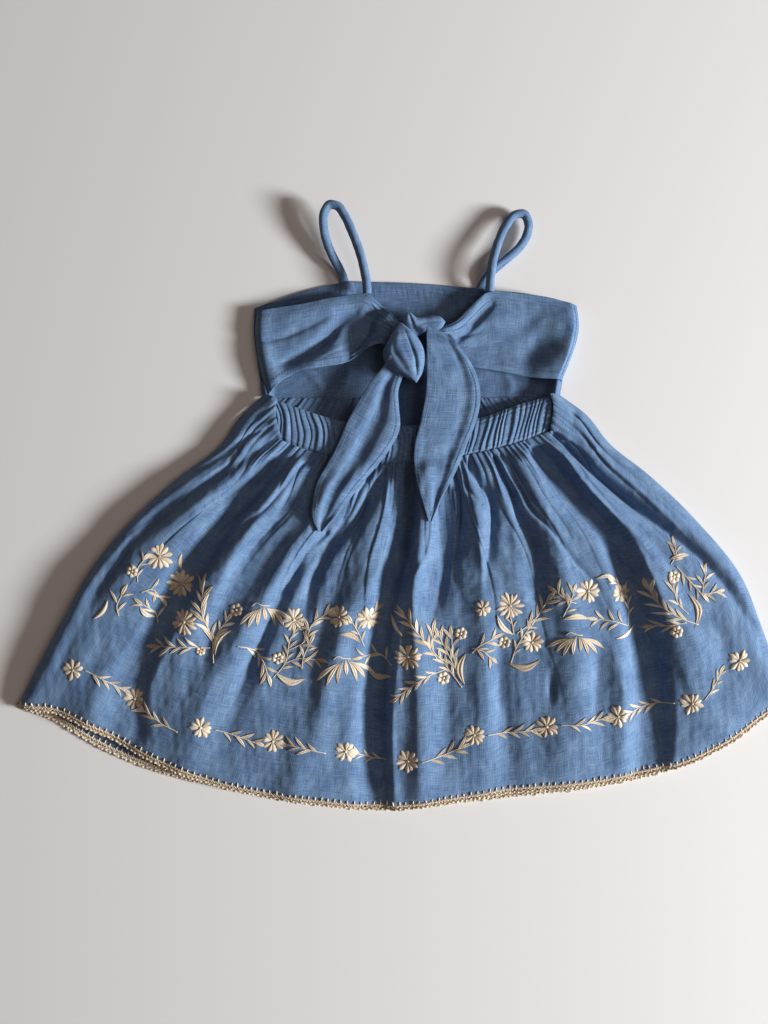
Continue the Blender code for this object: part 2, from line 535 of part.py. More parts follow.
def make_strap(name, route, material):
    """A narrow rouleau strap, standing in a loop above the surface."""
    points = smooth_path(route, np.linspace(0, 1, STRAP_RINGS))
    points = (points + MIDDLE) * MM
    curve = bpy.data.curves.new(name, "CURVE")
    curve.dimensions = "3D"
    curve.bevel_depth = STRAP_RADIUS * MM
    curve.bevel_resolution = 2
    curve.use_fill_caps = True
    spline = curve.splines.new("POLY")
    spline.points.add(len(points) - 1)
    for spot, place in zip(spline.points, points):
        spot.co = (*place, 1.0)
    add_object(name, curve, material)


def make_dress():
    """Every piece of the dress, from the layer on the surface upwards."""
    for old in list(bpy.data.objects):
        bpy.data.objects.remove(old)
    make_bodice_front(finish("linen_front_bodice", LINEN_INSIDE, 0.85))
    front = make_skirt_front(finish("linen_skirt_front", LINEN_INSIDE, 0.85))
    back, back_under = make_skirt_back(finish("linen_skirt_back", LINEN, 0.8))
    band = make_waistband(finish("linen_waistband", LINEN, 0.8))
    carried = (band, back)
    make_back_panel("back_panel_left", LEFT_PANEL_TOP, LEFT_PANEL_FOOT, LEFT_PANEL_SIDE,
                    LEFT_PANEL_FOLDS, finish("linen_back_panel_left", LINEN, 0.8))
    make_back_panel("back_panel_right", RIGHT_PANEL_TOP, RIGHT_PANEL_FOOT, RIGHT_PANEL_SIDE,
                    RIGHT_PANEL_FOLDS, finish("linen_back_panel_right", LINEN, 0.8))
    make_pebble("tie_knot", KNOT_OUTLINE, KNOT_RISE, KNOT_CREASES, finish("linen_tie_knot", LINEN, 0.8))
    make_pebble("tie_loop", LOOP_OUTLINE, LOOP_RISE, [], finish("linen_tie_loop", LINEN, 0.8))
    make_tie_tail("tie_tail_left", LEFT_TAIL_OUTER, LEFT_TAIL_INNER, LEFT_TAIL_SECTION,
                  carried, finish("linen_tie_tail_left", LINEN, 0.8))
    make_tie_tail("tie_tail_right", RIGHT_TAIL_OUTER, RIGHT_TAIL_INNER, RIGHT_TAIL_SECTION,
                  carried, finish("linen_tie_tail_right", LINEN, 0.8))
    make_strap("strap_left", LEFT_STRAP_ROUTE, finish("linen_strap_left", LINEN, 0.8))
    make_strap("strap_right", RIGHT_STRAP_ROUTE, finish("linen_strap_right", LINEN, 0.8))
    on_surface = np.zeros(len(front[-1]))
    make_edging("hem_edging_front", front[-1], on_surface, finish("thread_edging_front", THREAD, 0.75))
    make_edging("hem_edging_back", back[-1], back_under[-1, :, 2], finish("thread_edging_back", THREAD, 0.75))


make_dress()
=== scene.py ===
"""Looks of a toddler's tie-back sundress, laid out flat on its front.

The drawing is in millimetres, with its zero as in the part's source: X across the dress, Y from the
hem to the straps, Z up from the surface that it lies on. MIDDLE and MM turn it into the row frame.
"""
from collections import namedtuple

import bpy
import numpy as np
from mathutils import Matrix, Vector
from mathutils.bvhtree import BVHTree


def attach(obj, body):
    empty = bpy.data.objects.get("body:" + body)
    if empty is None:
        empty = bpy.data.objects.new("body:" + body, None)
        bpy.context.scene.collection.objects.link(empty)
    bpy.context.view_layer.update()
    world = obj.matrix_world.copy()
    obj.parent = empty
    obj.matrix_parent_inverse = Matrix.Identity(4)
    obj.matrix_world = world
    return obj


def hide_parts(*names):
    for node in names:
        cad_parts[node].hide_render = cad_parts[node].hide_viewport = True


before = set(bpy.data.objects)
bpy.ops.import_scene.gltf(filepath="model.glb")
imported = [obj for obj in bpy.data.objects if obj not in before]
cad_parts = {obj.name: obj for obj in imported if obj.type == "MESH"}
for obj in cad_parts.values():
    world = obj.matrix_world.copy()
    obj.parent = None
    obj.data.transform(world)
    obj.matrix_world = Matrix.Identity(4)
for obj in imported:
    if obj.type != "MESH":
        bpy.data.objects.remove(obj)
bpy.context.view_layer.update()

MM = 0.001                  # a millimetre, in metres
MIDDLE = np.array((-0.923, 4.584, 0.0))  # from the drawing's zero to the row frame's, in millimetres
CLOTH = 1.2                 # height that a layer of cloth takes up
SEAM = 0.3                  # gap between neighbouring pieces
UNDER_BACK = CLOTH + SEAM   # lowest height of the cloth of the back
FLOOR_GAP = 0.05            # lowest height of the cloth of the front
WAIST_Y = 82.5              # where the front bodice meets the skirt front
SIDE_ROUND = 15.0           # how far in the skirt's sides are rounded
BODICE_ROUND = 6.0          # how far in the sides of the back panels are rounded
HEM_FALL = 60.0             # how far up from its hem the skirt comes down
HEM_SHARE = 0.6             # share of its height that it keeps at the hem
BAND_LEVEL = 9.4            # height of the waistband's outer side
BAND_WIDTH = 28.0           # width of the waistband
END_LAP = 3.2               # how far the skirt laps over each end of the waistband
PANEL_END_LEVEL = 13.6      # height of the back panels where they meet the knot
KNOT_FLOOR = PANEL_END_LEVEL + 2 * SEAM  # lowest height of the knot
STRAP_RADIUS = 3.5          # radius of a rolled strap
STRAP_SEAM = 0.9            # turn of the strap's seam from its side, in radians
GATHER_PITCH = 4.4          # spacing of the elastic's gathers
STITCH = 2.6                # length of a machine stitch
STITCH_RADIUS = 0.17        # radius of the sewing thread
STEM_RADIUS = 0.38          # radius of the embroidered stems
THREAD_LIFT = 0.12          # height of the embroidery's edges over the cloth
EDGING_DEPTH = 5.0          # width of the crocheted edging
EDGING_STEP = 0.5           # spacing of the points along a hem
BLANKET_PITCH = 5.0         # spacing of the blanket stitches
PICOT_PITCH = 6.8           # spacing of the crocheted loops
CHAIN_PITCH = 2.4           # length of a turn of the chain along the hem's edge
CAMERA_HEIGHT = 0.65        # in metres

# Outlines, each a smooth line through a few places (x, y)
BODICE_TOP = [(-113.5, 152.0), (-79.0, 164.0), (-48.0, 171.0), (-10.0, 171.6), (30.0, 169.6),
              (64.0, 166.2), (99.0, 162.6), (134.5, 154.0)]
BODICE_LEFT = [(-113.5, 152.0), (-114.2, 134.0), (-111.5, 112.0), (-107.3, WAIST_Y + SEAM)]
BODICE_RIGHT = [(134.5, 154.0), (136.5, 141.0), (133.5, 123.0), (126.0, 107.0), (121.0, WAIST_Y + SEAM)]
SKIRT_LEFT = [(-107.3, WAIST_Y), (-126.0, 67.0), (-140.0, 47.0), (-174.7, 19.7), (-210.4, -13.5),
              (-241.8, -52.7), (-260.4, -86.0), (-283.2, -128.5), (-295.4, -152.6)]
SKIRT_RIGHT = [(121.0, WAIST_Y), (143.2, 69.0), (159.0, 49.0), (190.2, 23.5), (229.1, -14.4),
               (261.6, -55.9), (275.5, -89.9), (284.9, -115.6), (296.9, -149.4)]
BACK_LEFT = [(-106.4, 86.0)] + SKIRT_LEFT[1:]
BACK_RIGHT = [(120.4, 86.0)] + SKIRT_RIGHT[1:]
HEM_BACK = [(-295.4, -152.6), (-264.3, -155.6), (-236.1, -168.2), (-196.4, -189.8), (-137.2, -212.6),
            (-58.6, -226.5), (-17.0, -230.6), (20.7, -226.5), (78.5, -217.6), (154.7, -209.5),
            (211.7, -197.2), (249.9, -177.5), (282.7, -155.0), (296.9, -149.4)]
HEM_FRONT = [(-295.4, -152.6), (-270.0, -161.5), (-236.8, -181.0), (-197.3, -198.7), (-137.2, -214.6),
             (-58.6, -227.5), (-17.0, -231.4), (40.2, -226.0), (78.9, -221.6), (155.5, -212.5),
             (211.7, -198.4), (249.9, -178.5), (282.7, -155.5), (296.9, -149.4)]
BAND_TOP = [(-98.0, 80.0), (-74.0, 71.8), (-48.0, 64.2), (-18.0, 60.6), (6.0, 60.3), (34.0, 62.6),
            (61.0, 66.6), (90.0, 76.6), (115.4, 83.6)]
BAND_FOOT = [(-94.6, 50.6), (-74.0, 42.6), (-48.0, 35.4), (-18.0, 31.4), (6.0, 31.8), (34.0, 35.6),
             (61.0, 40.6), (90.0, 48.2), (115.4, 57.6)]
LEFT_PANEL_TOP = [(-112.6, 147.8), (-95.0, 150.4), (-78.1, 152.8), (-47.5, 158.4), (-26.5, 159.4),
                  (-17.0, 152.6), (-8.0, 144.0), (0.0, 135.0)]
LEFT_PANEL_FOOT = [(-103.6, 83.8), (-92.0, 95.2), (-78.1, 102.8), (-62.0, 105.4), (-38.3, 111.2),
                   (-30.0, 117.4), (-17.0, 122.8), (-6.0, 121.0)]
LEFT_PANEL_SIDE = [(-112.6, 147.8), (-113.4, 134.0), (-111.0, 112.0), (-103.6, 83.8)]
RIGHT_PANEL_TOP = [(134.2, 152.2), (112.9, 158.0), (89.8, 161.0), (65.3, 161.6), (51.5, 150.0),
                   (40.0, 138.6), (28.0, 133.6), (19.0, 131.4)]
RIGHT_PANEL_FOOT = [(123.0, 95.4), (100.1, 97.4), (80.1, 101.4), (62.4, 104.3), (53.1, 105.6),
                    (40.1, 111.4), (29.0, 116.0), (21.0, 118.6)]
RIGHT_PANEL_SIDE = [(134.2, 152.2), (136.2, 141.0), (133.2, 123.0), (123.0, 95.4)]
LEFT_TAIL_OUTER = [(-8.8, 112.4), (-15.0, 103.6), (-23.0, 93.6), (-31.3, 80.8), (-40.4, 64.8), (-48.6, 45.8),
                   (-56.5, 29.9), (-63.6, 17.1), (-66.6, 3.0), (-66.7, -11.5), (-62.5, -20.4)]
LEFT_TAIL_INNER = [(3.4, 104.0), (-0.6, 96.2), (-3.6, 85.3), (-3.0, 74.0), (-2.2, 60.0), (-12.4, 39.0),
                   (-22.0, 27.0), (-31.3, 15.9), (-42.0, 2.0), (-52.0, -11.0), (-60.4, -20.0)]
RIGHT_TAIL_OUTER = [(18.2, 133.4), (18.6, 120.0), (18.8, 104.0), (18.5, 89.9), (14.0, 62.5),
                    (9.4, 43.6), (9.7, 25.4), (14.6, 4.4), (19.6, -12.6)]
RIGHT_TAIL_INNER = [(36.5, 127.0), (44.4, 117.4), (53.4, 104.0), (58.6, 85.1), (56.6, 67.0),
                    (49.3, 48.1), (39.2, 23.9), (28.9, 4.4), (21.4, -12.8)]
KNOT_LEFT = [(-1.9, 138.8), (-6.0, 133.0), (-10.5, 125.0), (-14.6, 115.6), (-11.6, 105.2), (-1.0, 98.6),
             (10.6, 92.4)]
KNOT_RIGHT = [(-1.9, 138.8), (6.0, 132.6), (12.5, 125.5), (16.4, 117.5), (17.0, 108.0), (14.8, 99.0),
              (10.6, 92.4)]
LOOP_LEFT = [(0.0, 136.0), (1.6, 143.2), (4.5, 146.2), (10.4, 142.4), (16.0, 142.6), (24.0, 143.4),
             (29.0, 142.4), (32.6, 138.8)]
LOOP_RIGHT = [(0.0, 136.0), (5.0, 129.6), (11.0, 127.6), (15.0, 130.4), (19.0, 132.6), (25.0, 131.8),
              (29.4, 133.4), (32.6, 138.8)]

# Heights of the skirt back over the surface, from the waist down (y, height)
SKIRT_LEVEL = [(90.0, 8.0), (55.0, 8.6), (25.0, 11.6), (-40.0, 15.2), (-130.0, 14.6), (-235.0, 10.5)]
# Heights of a back panel's cloth over the front (share of its length from the side seam, height)
PANEL_RISE = [(0.0, 7.2), (0.3, 8.0), (0.72, 10.0), (0.92, 12.1), (1.0, 12.1)]

# Gathers of the back, from fine to wide: spacing, rise, where they start below the waist, how far below that
# they are full, and how far they reach
GATHER_SIZES = [(GATHER_PITCH, 1.6, 0.0, 0.0, 34.0), (8.4, 1.4, 3.0, 14.0, 110.0),
                (15.0, 1.6, 14.0, 34.0, 215.0)]
FRONT_GATHER_SIZES = [(4.6, 1.2, 0.0, 0.0, 26.0), (11.0, 0.7, 6.0, 14.0, 60.0)]
PANEL_CREASE_SIZES = [(4.2, 1.0, 0.0, 0.0, 90.0)]

# Turned edges of a back panel: where each starts to fall and where it ends, in from the edge, and its height
PANEL_TURNINGS = {"top": (5.6, 6.5, 0.22), "foot": (4.2, 4.9, 0.2), "left": (2.2, 3.0, 0.3)}

# Raised sides of the front bodice: distance in from the edge, width, rise, and the heights up the dress
# between which each dies away
BODICE_SIDES = {"right": (4.8, 4.2, 9.8, 97.0, 103.0), "left": (3.4, 3.0, 6.2, 91.0, 97.0)}

# A soft ridge (rise above 0) or trough (below 0): its middle line from the waist down, its half width at
# both ends, its rise, how strong it is at both ends, how far it leans over to its left side, and its
# form: 2 is a soft swell, 3 or 4 has steep walls and a flat middle, near 1 is a sharp pinch
Fold = namedtuple("Fold", "path half_width rise strength lean form", defaults=(0.0, 2.0))

# Great folds of the skirt back, from the gathers towards the hem
MAIN_FOLDS = [
    Fold([(-96, 50), (-143, 19), (-176, -4), (-205, -25), (-235, -70)], (4, 8), -4.2, (0.6, 0.4)),
    Fold([(-84, 48), (-113, 19), (-149, -6), (-160, -15)], (3, 5), -2.4, (0.8, 0.2)),
    Fold([(-82, 40), (-125, -5), (-155, -50), (-190, -105), (-206, -140), (-208, -170)], (5, 17), -10.5,
         (0.25, 0.5), -0.3, 3.4),
    Fold([(-78, 36), (-112, -14), (-138, -60), (-166, -112), (-178, -160)], (4, 8), 3.2, (0.5, 0.2)),
    Fold([(-58, -22), (-83, -56), (-110, -112), (-130, -166)], (5, 7), -4.6, (0.6, 0.4)),
    Fold([(-10, 29), (-33, -9), (-62, -42), (-72, -75)], (4, 6), -4.5, (0.8, 0.3), 0.1),
    Fold([(8, 25), (6, -10), (-5, -60), (-14, -110), (-18, -165), (-17, -226)], (6, 13), -10.5,
         (0.7, 0.9), -0.4, 3.4),
    Fold([(18, 20), (16, -20), (8, -70), (3, -130), (1, -200)], (4, 6), 2.6, (0.5, 0.4)),
    Fold([(40, 24), (44, -9), (39, -60)], (3, 6), -4.5, (0.8, 0.4), 0.0, 1.6),
    Fold([(51, 30), (67, 1), (67, -22), (62, -57)], (4, 7), -4.5, (0.7, 0.3), 0.2),
    Fold([(70, 36), (85, 1), (98, -34), (103, -69)], (3, 8), -4.5, (0.8, 0.5)),
    Fold([(106, 40), (134, 6), (160, -22), (179, -66), (188, -110), (192, -150), (193, -215)],
         (7, 17), -11.5, (0.7, 0.9), -0.3, 3.4),
    Fold([(108, 40), (138, 2), (166, -30), (192, -72), (212, -120), (218, -160)], (4, 8), 3.0, (0.5, 0.2)),
    Fold([(116, 53), (153, 17), (189, -12), (223, -38), (258, -78), (276, -108)], (4, 8), -5.5, (0.6, 0.5)),
    Fold([(75, -107), (80, -210)], (9, 12), -3.5, (0.5, 0.8)),
    Fold([(4, 24), (4, 8), (2, -26)], (8, 12), -4.0, (0.2, 0.3), -0.3),
    Fold([(33, 10), (34, -20), (28, -54), (19, -88)], (8, 11), -7.0, (0.5, 0.2), -0.35, 3.2),
    Fold([(147, -110), (152, -150)], (8, 9), -2.5, (0.5, 0.5)),
    Fold([(-110, 40), (-160, -5), (-215, -60)], (6, 14), 4.0, (0.6, 0.5)),
    Fold([(-75, 30), (-120, -20), (-185, -100), (-235, -160)], (7, 16), 5.0, (0.5, 0.5)),
    Fold([(-40, 28), (-80, -35), (-140, -130), (-165, -195)], (7, 15), 5.5, (0.6, 0.6)),
    Fold([(-8, 20), (-28, -50), (-60, -140), (-80, -215)], (6, 15), 4.5, (0.4, 0.7)),
    Fold([(18, 25), (10, -40), (12, -130), (15, -222)], (5, 12), 6.0, (0.4, 0.9), 0.3),
    Fold([(52, 30), (58, -40), (62, -140), (60, -215)], (6, 16), 3.5, (0.4, 0.5)),
    Fold([(88, 42), (118, -40), (130, -130), (125, -205)], (6, 15), 5.0, (0.5, 0.5)),
    Fold([(120, 48), (165, -20), (215, -100), (235, -170)], (7, 16), 5.5, (0.5, 0.5)),
    Fold([(140, 45), (200, -10), (250, -60)], (6, 12), 3.5, (0.5, 0.4)),
]

# Creases and narrow ridges of the skirt back
FINE_FOLDS = [
    Fold([(-101, 59), (-120, 51), (-134, 40), (-151, 29), (-173, 17), (-194, 2)],
         (1.8, 3.5), -2.6, (0.8, 0.2), 0.3, 1.5),
    Fold([(-205, -25), (-215, -45), (-235, -70)], (2.5, 3.5), -2.2, (0.5, 0.2), 0.0, 1.6),
    Fold([(-120, 39), (-143, 26), (-178, -4), (-209, -26), (-246, -71), (-276, -112)],
         (2.2, 3.0), 0.9, (0.6, 0.8), 0.5),
    Fold([(-62, 36), (-77, 29), (-87, 16), (-100, 0), (-118, -15), (-128, -25)],
         (1.6, 3.0), -2.8, (0.9, 0.2), 0.3, 1.4),
    Fold([(-84, 48), (-96, 36), (-113, 19), (-133, 6), (-149, -6)], (1.4, 2.4), -2.0, (0.9, 0.2), 0.0, 1.3),
    Fold([(-80, 28), (-103, -15), (-128, -42), (-145, -75), (-155, -110), (-155, -160)],
         (4, 11), 2.6, (0.5, 0.3), -0.3),
    Fold([(-58, -22), (-70, -32), (-77, -42), (-83, -56), (-92, -66)],
         (2.5, 5.0), -3.2, (0.8, 0.7), -0.2, 1.8),
    Fold([(-100, -90), (-110, -112), (-120, -130), (-128, -149)], (3.5, 4.0), -2.4, (0.5, 0.3), -0.2),
    Fold([(-10, 29), (-17, 22), (-24, 11), (-33, -9), (-50, -29), (-68, -52)],
         (1.5, 2.6), -2.4, (0.9, 0.2), 0.2, 1.4),
    Fold([(-18, 29), (-25, 22), (-32, 11), (-41, -9), (-58, -29), (-70, -42)],
         (1.4, 2.4), -2.0, (0.9, 0.2), 0.0, 1.4),
    Fold([(-43, -14), (-53, -29), (-60, -46), (-70, -60), (-72, -75)],
         (2.0, 4.0), -2.6, (0.6, 0.3), 0.2, 1.6),
    Fold([(-10, -9), (-17, -46), (-24, -59), (-27, -82)], (2.6, 5.0), 2.2, (0.5, 0.3), 0.0),
    Fold([(20, 4), (22, -15), (18, -38), (5, -58), (0, -75), (-2, -100), (-5, -130), (-8, -165),
          (-9, -220)],
         (2.6, 4.0), 2.6, (0.6, 0.6), 0.5),
    Fold([(40, 24), (43, 12), (44, -9), (42, -29), (40, -49), (39, -57)],
         (1.3, 2.4), -2.6, (0.8, 0.5), -0.4, 1.4),
    Fold([(34, -44), (32, -62), (31, -80)], (3.5, 6.0), -2.2, (0.5, 0.2)),
    Fold([(45, 34), (46, 24), (48, 14), (56, 4), (60, -1)], (1.2, 1.8), -2.0, (0.9, 0.2), 0.0, 1.4),
    Fold([(51, 36), (51, 26), (56, 17), (64, 9), (67, 1), (68, -9), (67, -22), (65, -36), (62, -57)],
         (1.4, 2.6),
         -2.8, (0.9, 0.3), 0.5, 1.5),
    Fold([(76, -2), (79, -24), (80, -48)], (5, 6), -2.0, (0.4, 0.3)),
    Fold([(56, -16), (60, -45), (60, -68)], (1.8, 3.0), 1.8, (0.4, 0.3)),
    Fold([(70, 36), (75, 22), (81, 12), (87, -9), (98, -34), (101, -59), (103, -72)],
         (1.5, 3.2), -2.6, (0.9, 0.4), 0.5, 1.5),
    Fold([(75, 37), (81, 25), (89, 12), (96, -2), (108, -15), (118, -27), (129, -42), (148, -63),
          (154, -76)], (1.4, 2.8),
         -2.6, (0.9, 0.2), 0.3, 1.5),
    Fold([(80, 36), (88, 21), (98, 4), (105, -6)], (1.2, 1.8), -2.0, (0.9, 0.2), 0.0, 1.4),
    Fold([(93, 47), (103, 35), (109, 27), (118, 18)], (1.3, 2.0), -2.2, (0.9, 0.2), 0.0, 1.4),
    Fold([(104, -46), (106, -60), (104, -76)], (3.5, 5.0), -2.6, (0.5, 0.3)),
    Fold([(113, -126), (112, -150)], (3.0, 3.5), -2.2, (0.4, 0.4)),
    Fold([(74, -104), (73, -130), (75, -166)], (4.0, 5.0), -1.8, (0.4, 0.4)),
    Fold([(147, -116), (147, -162)], (3.0, 4.0), -1.6, (0.4, 0.4)),
    Fold([(122, 37), (139, 13), (157, -7), (178, -25), (194, -44), (206, -68)],
         (3.0, 5.0), 3.0, (0.6, 0.4), -0.2),
    Fold([(116, 53), (131, 37), (153, 17), (176, -2), (201, -20), (223, -38), (246, -63), (266, -93)],
         (1.5, 4.0), -2.8,
         (0.9, 0.4), 0.3, 1.6),
    Fold([(124, 47), (138, 30), (148, 18), (158, 7), (173, -5)], (1.3, 2.4), -2.2, (0.9, 0.2), 0.0, 1.4),
    Fold([(150, 40), (176, 17), (205, -10), (232, -42)], (2.0, 4.0), -1.8, (0.7, 0.3), 0.0, 1.7),
    Fold([(133, 76), (131, 64)], (3.5, 4.5), -2.0, (0.5, 0.4)),
    Fold([(137, 60), (148, 43)], (4.0, 5.0), -2.2, (0.5, 0.3)),
    Fold([(232, -70), (243, -110), (240, -150)], (5, 8), -1.8, (0.4, 0.4)),
    Fold([(-60, -84), (-66, -130), (-74, -190)], (4, 8), -1.8, (0.4, 0.4)),
    Fold([(-180, -60), (-196, -90), (-226, -130)], (4, 7), 1.8, (0.4, 0.3)),
    Fold([(30, -100), (34, -150), (30, -205)], (5, 9), -1.6, (0.3, 0.5)),
    Fold([(160, -110), (168, -150), (170, -200)], (5, 8), 1.8, (0.3, 0.5)),
    Fold([(-250, -96), (-262, -130)], (4, 6), -1.6, (0.4, 0.4)),
]

# Creases of the back panels, drawn in to the knot
LEFT_PANEL_FOLDS = [
    Fold([(-14, 150), (-24, 142), (-31, 131), (-35, 122)], (6.0, 9.0), -8.6, (0.5, 0.9), -0.3, 2.4),
    Fold([(-105, 146), (-106, 130), (-103, 112), (-98, 98)], (5.0, 6.0), 2.0, (0.4, 1.0)),
    Fold([(-12, 129), (-26, 120), (-44, 112)], (2.6, 3.6), 2.4, (0.8, 0.5)),
    Fold([(-94, 107), (-84, 111), (-68, 118), (-54, 130)], (4.0, 5.5), -2.4, (0.3, 0.7), 0.2),
    Fold([(-98, 107), (-86, 110), (-70, 117), (-56, 128), (-46, 140), (-36, 147)],
         (3.0, 4.5), -3.8, (0.1, 0.9), 0.2, 1.8),
    Fold([(-42, 143), (-32, 135), (-22, 130), (-10, 130)], (8, 7), -4.5, (0.8, 0.6)),
    Fold([(-92, 92), (-62, 110), (-42, 120), (-16, 127)], (8, 5), 3.4, (0.5, 0.6)),
    Fold([(-96, 142), (-60, 151), (-30, 153)], (7, 6), 2.0, (0.4, 0.6)),
    Fold([(-110, 124), (-88, 129), (-70, 137), (-52, 146)], (2.4, 4.0), -1.5, (0.6, 0.3), 0.2, 1.7),
    Fold([(-40, 113), (-32, 118), (-20, 124)], (2.4, 2.0), -2.0, (0.5, 0.8), 0.0, 1.6),
    Fold([(-100, 90), (-86, 98), (-70, 103)], (2.0, 2.4), -1.0, (0.5, 0.3), 0.0, 1.6),
    Fold([(-60, 112), (-40, 121), (-14, 129)], (1.6, 1.4), -1.2, (0.2, 0.9), 0.0, 1.5),
    Fold([(-36, 152), (-22, 144), (-8, 134)], (2.0, 1.6), -1.0, (0.2, 0.9), 0.0, 1.6),
]
RIGHT_PANEL_FOLDS = [
    Fold([(122, 130), (112, 120), (98, 116)], (10, 10), -4.0, (0.7, 0.4)),
    Fold([(36, 124), (64, 118), (96, 112)], (5, 8), -2.2, (0.7, 0.3)),
    Fold([(34, 130), (60, 138), (96, 142)], (6, 10), 2.2, (0.7, 0.3)),
    Fold([(40, 116), (66, 108), (100, 103)], (4, 6), 1.8, (0.6, 0.5)),
    Fold([(38, 127), (50, 129), (66, 134)], (1.4, 2.4), -1.4, (0.9, 0.2), 0.0, 1.5),
    Fold([(38, 122), (52, 121), (70, 122)], (1.3, 2.2), -1.2, (0.9, 0.2), 0.0, 1.5),
    Fold([(44, 111), (58, 108), (74, 107)], (1.2, 2.0), -1.0, (0.9, 0.2), 0.0, 1.5),
    Fold([(126, 156), (127, 132), (122, 104)], (13.0, 17.0), 8.4, (0.05, 1.0), -0.5),
    Fold([(108, 134), (102, 120), (96, 106)], (8.0, 10.0), -2.5, (0.3, 0.9)),
    Fold([(62, 159), (53, 148.5), (40, 136), (30, 131.5)], (3.0, 2.6), 1.6, (0.8, 0.8)),
    Fold([(68, 152), (58, 141), (47, 130), (40, 124)], (3.5, 4.5), -3.0, (0.4, 0.8), -0.3),
    Fold([(110, 150), (92, 136), (80, 124)], (5.0, 6.0), -1.0, (0.3, 0.3)),
]

# Soft creases of the front bodice
BODICE_FOLDS = [
    Fold([(40, 166), (52, 146), (58, 120)], (6, 9), 1.4, (0.5, 0.4)),
    Fold([(18, 168), (26, 150), (30, 138)], (4, 6), 1.0, (0.4, 0.4)),
    Fold([(-30, 168), (-26, 150), (-24, 120)], (5, 8), 1.2, (0.4, 0.4)),
    Fold([(-80, 108), (-66, 96), (-60, 86)], (3, 4), 1.2, (0.4, 0.5)),
    Fold([(-40, 110), (-44, 98), (-50, 86)], (3, 4), 1.3, (0.4, 0.5)),
    Fold([(80, 100), (84, 92), (82, 84)], (3, 4), 1.2, (0.4, 0.5)),
    Fold([(100, 160), (110, 140), (112, 110)], (6, 8), 1.0, (0.4, 0.4)),
]

# Creases where the tie is wound round itself
KNOT_FOLDS = [
    Fold([(1, 132), (5, 122), (9.4, 110), (10.6, 98)], (1.3, 1.3), -1.9, (0.1, 1.0), 0.0, 1.5),
    Fold([(-4, 130), (-3, 120), (2, 109), (8, 98)], (3.4, 3.0), 0.9, (0.4, 0.7)),
    Fold([(-11, 124), (-13, 115), (-8, 106)], (2.6, 2.6), -0.8, (0.6, 0.6)),
    Fold([(-5, 128), (-7, 118), (-2, 107), (5, 98)], (1.8, 1.6), -0.7, (0.3, 0.6), 0.0, 1.6),
    Fold([(-10, 116), (-4, 112), (3, 103)], (1.2, 1.2), -0.4, (0.3, 0.4), 0.0, 1.5),
]
LOOP_FOLDS = [
    Fold([(5, 144), (7, 138), (10, 131)], (1.4, 1.4), -2.0, (0.6, 0.6), 0.0, 1.5),
    Fold([(8, 133), (16, 137), (30, 138)], (1.3, 1.3), -0.8, (0.5, 0.4), 0.0, 1.5),
    Fold([(12, 141), (20, 140.5), (29, 140)], (1.2, 1.2), 0.6, (0.5, 0.5)),
]

# Rise of a tie's folds across its width (place from outer to inner edge, rise)
LEFT_TAIL_SECTION = [(0.0, 2.0), (0.12, 2.7), (0.3, 2.4), (0.43, -0.2), (0.56, -0.6), (0.72, 1.9), (0.9, 1.6),
                     (1.0, 0.0)]
RIGHT_TAIL_SECTION = [(0.0, 3.3), (0.12, 3.5), (0.35, 2.6), (0.6, 1.6), (0.74, 0.6), (0.88, 1.5), (1.0, 0.2)]

# Routes of the straps, from the bodice front over to the back panel (x, y, z)
LEFT_STRAP_ROUTE = [(-43.2, 167.0, 1.5), (-44.6, 173.4, 1.9), (-46.6, 178.6, 3.6), (-52.5, 189.1, 6.5),
                    (-57.4, 200.3, 9.2), (-59.9, 211.9, 11.6), (-59.4, 221.6, 13.2),
                    (-55.2, 227.6, 14.0), (-49.3, 226.5, 14.4), (-44.0, 219.4, 14.6),
                    (-37.6, 205.5, 14.4), (-32.1, 191.0, 13.8), (-28.8, 177.9, 13.2),
                    (-27.0, 167.0, 12.4), (-26.8, 160.7, 11.4)]
RIGHT_STRAP_ROUTE = [(59.6, 162.4, 1.5), (61.6, 168.4, 1.9), (64.4, 174.5, 3.6), (71.4, 181.8, 4.6),
                     (80.3, 189.1, 4.9), (89.6, 197.4, 5.2), (95.5, 206.6, 5.8), (96.9, 216.2, 6.5),
                     (93.2, 222.8, 7.1), (86.4, 222.1, 7.6), (79.5, 214.1, 8.4), (73.9, 202.1, 9.8),
                     (69.4, 187.9, 11.6), (67.2, 174.5, 12.2), (66.4, 162.4, 11.2)]

dice = np.random.default_rng(7)


def blend_through(stations, values, places):
    """Read a smooth curve that passes through the values at their stations."""
    stations = np.asarray(stations, float)
    values = np.asarray(values, float)
    slopes = np.gradient(values, stations, axis=0)
    places = np.clip(np.asarray(places, float), stations[0], stations[-1])
    cell = np.clip(np.searchsorted(stations, places, side="right") - 1, 0, len(stations) - 2)
    span = stations[cell + 1] - stations[cell]
    part = (places - stations[cell]) / span
    if values.ndim > 1:
        part = part[..., None]
        span = span[..., None]
    rest = 1.0 - part
    return (values[cell] * (1 + 2 * part) * rest ** 2 + slopes[cell] * span * part * rest ** 2
            + values[cell + 1] * (3 - 2 * part) * part ** 2 - slopes[cell + 1] * span * rest * part ** 2)


def smooth_path(points, places):
    """Points at the given shares of the length of a smooth line through a few places."""
    knots = np.asarray(points, float)
    steps = np.linalg.norm(np.diff(knots, axis=0), axis=1)
    stations = np.concatenate(([0.0], np.cumsum(steps))) / steps.sum()
    return blend_through(stations, knots, places)


def path_length(points):
    """Length of a line of points."""
    return float(np.linalg.norm(np.diff(np.asarray(points, float), axis=0), axis=1).sum())


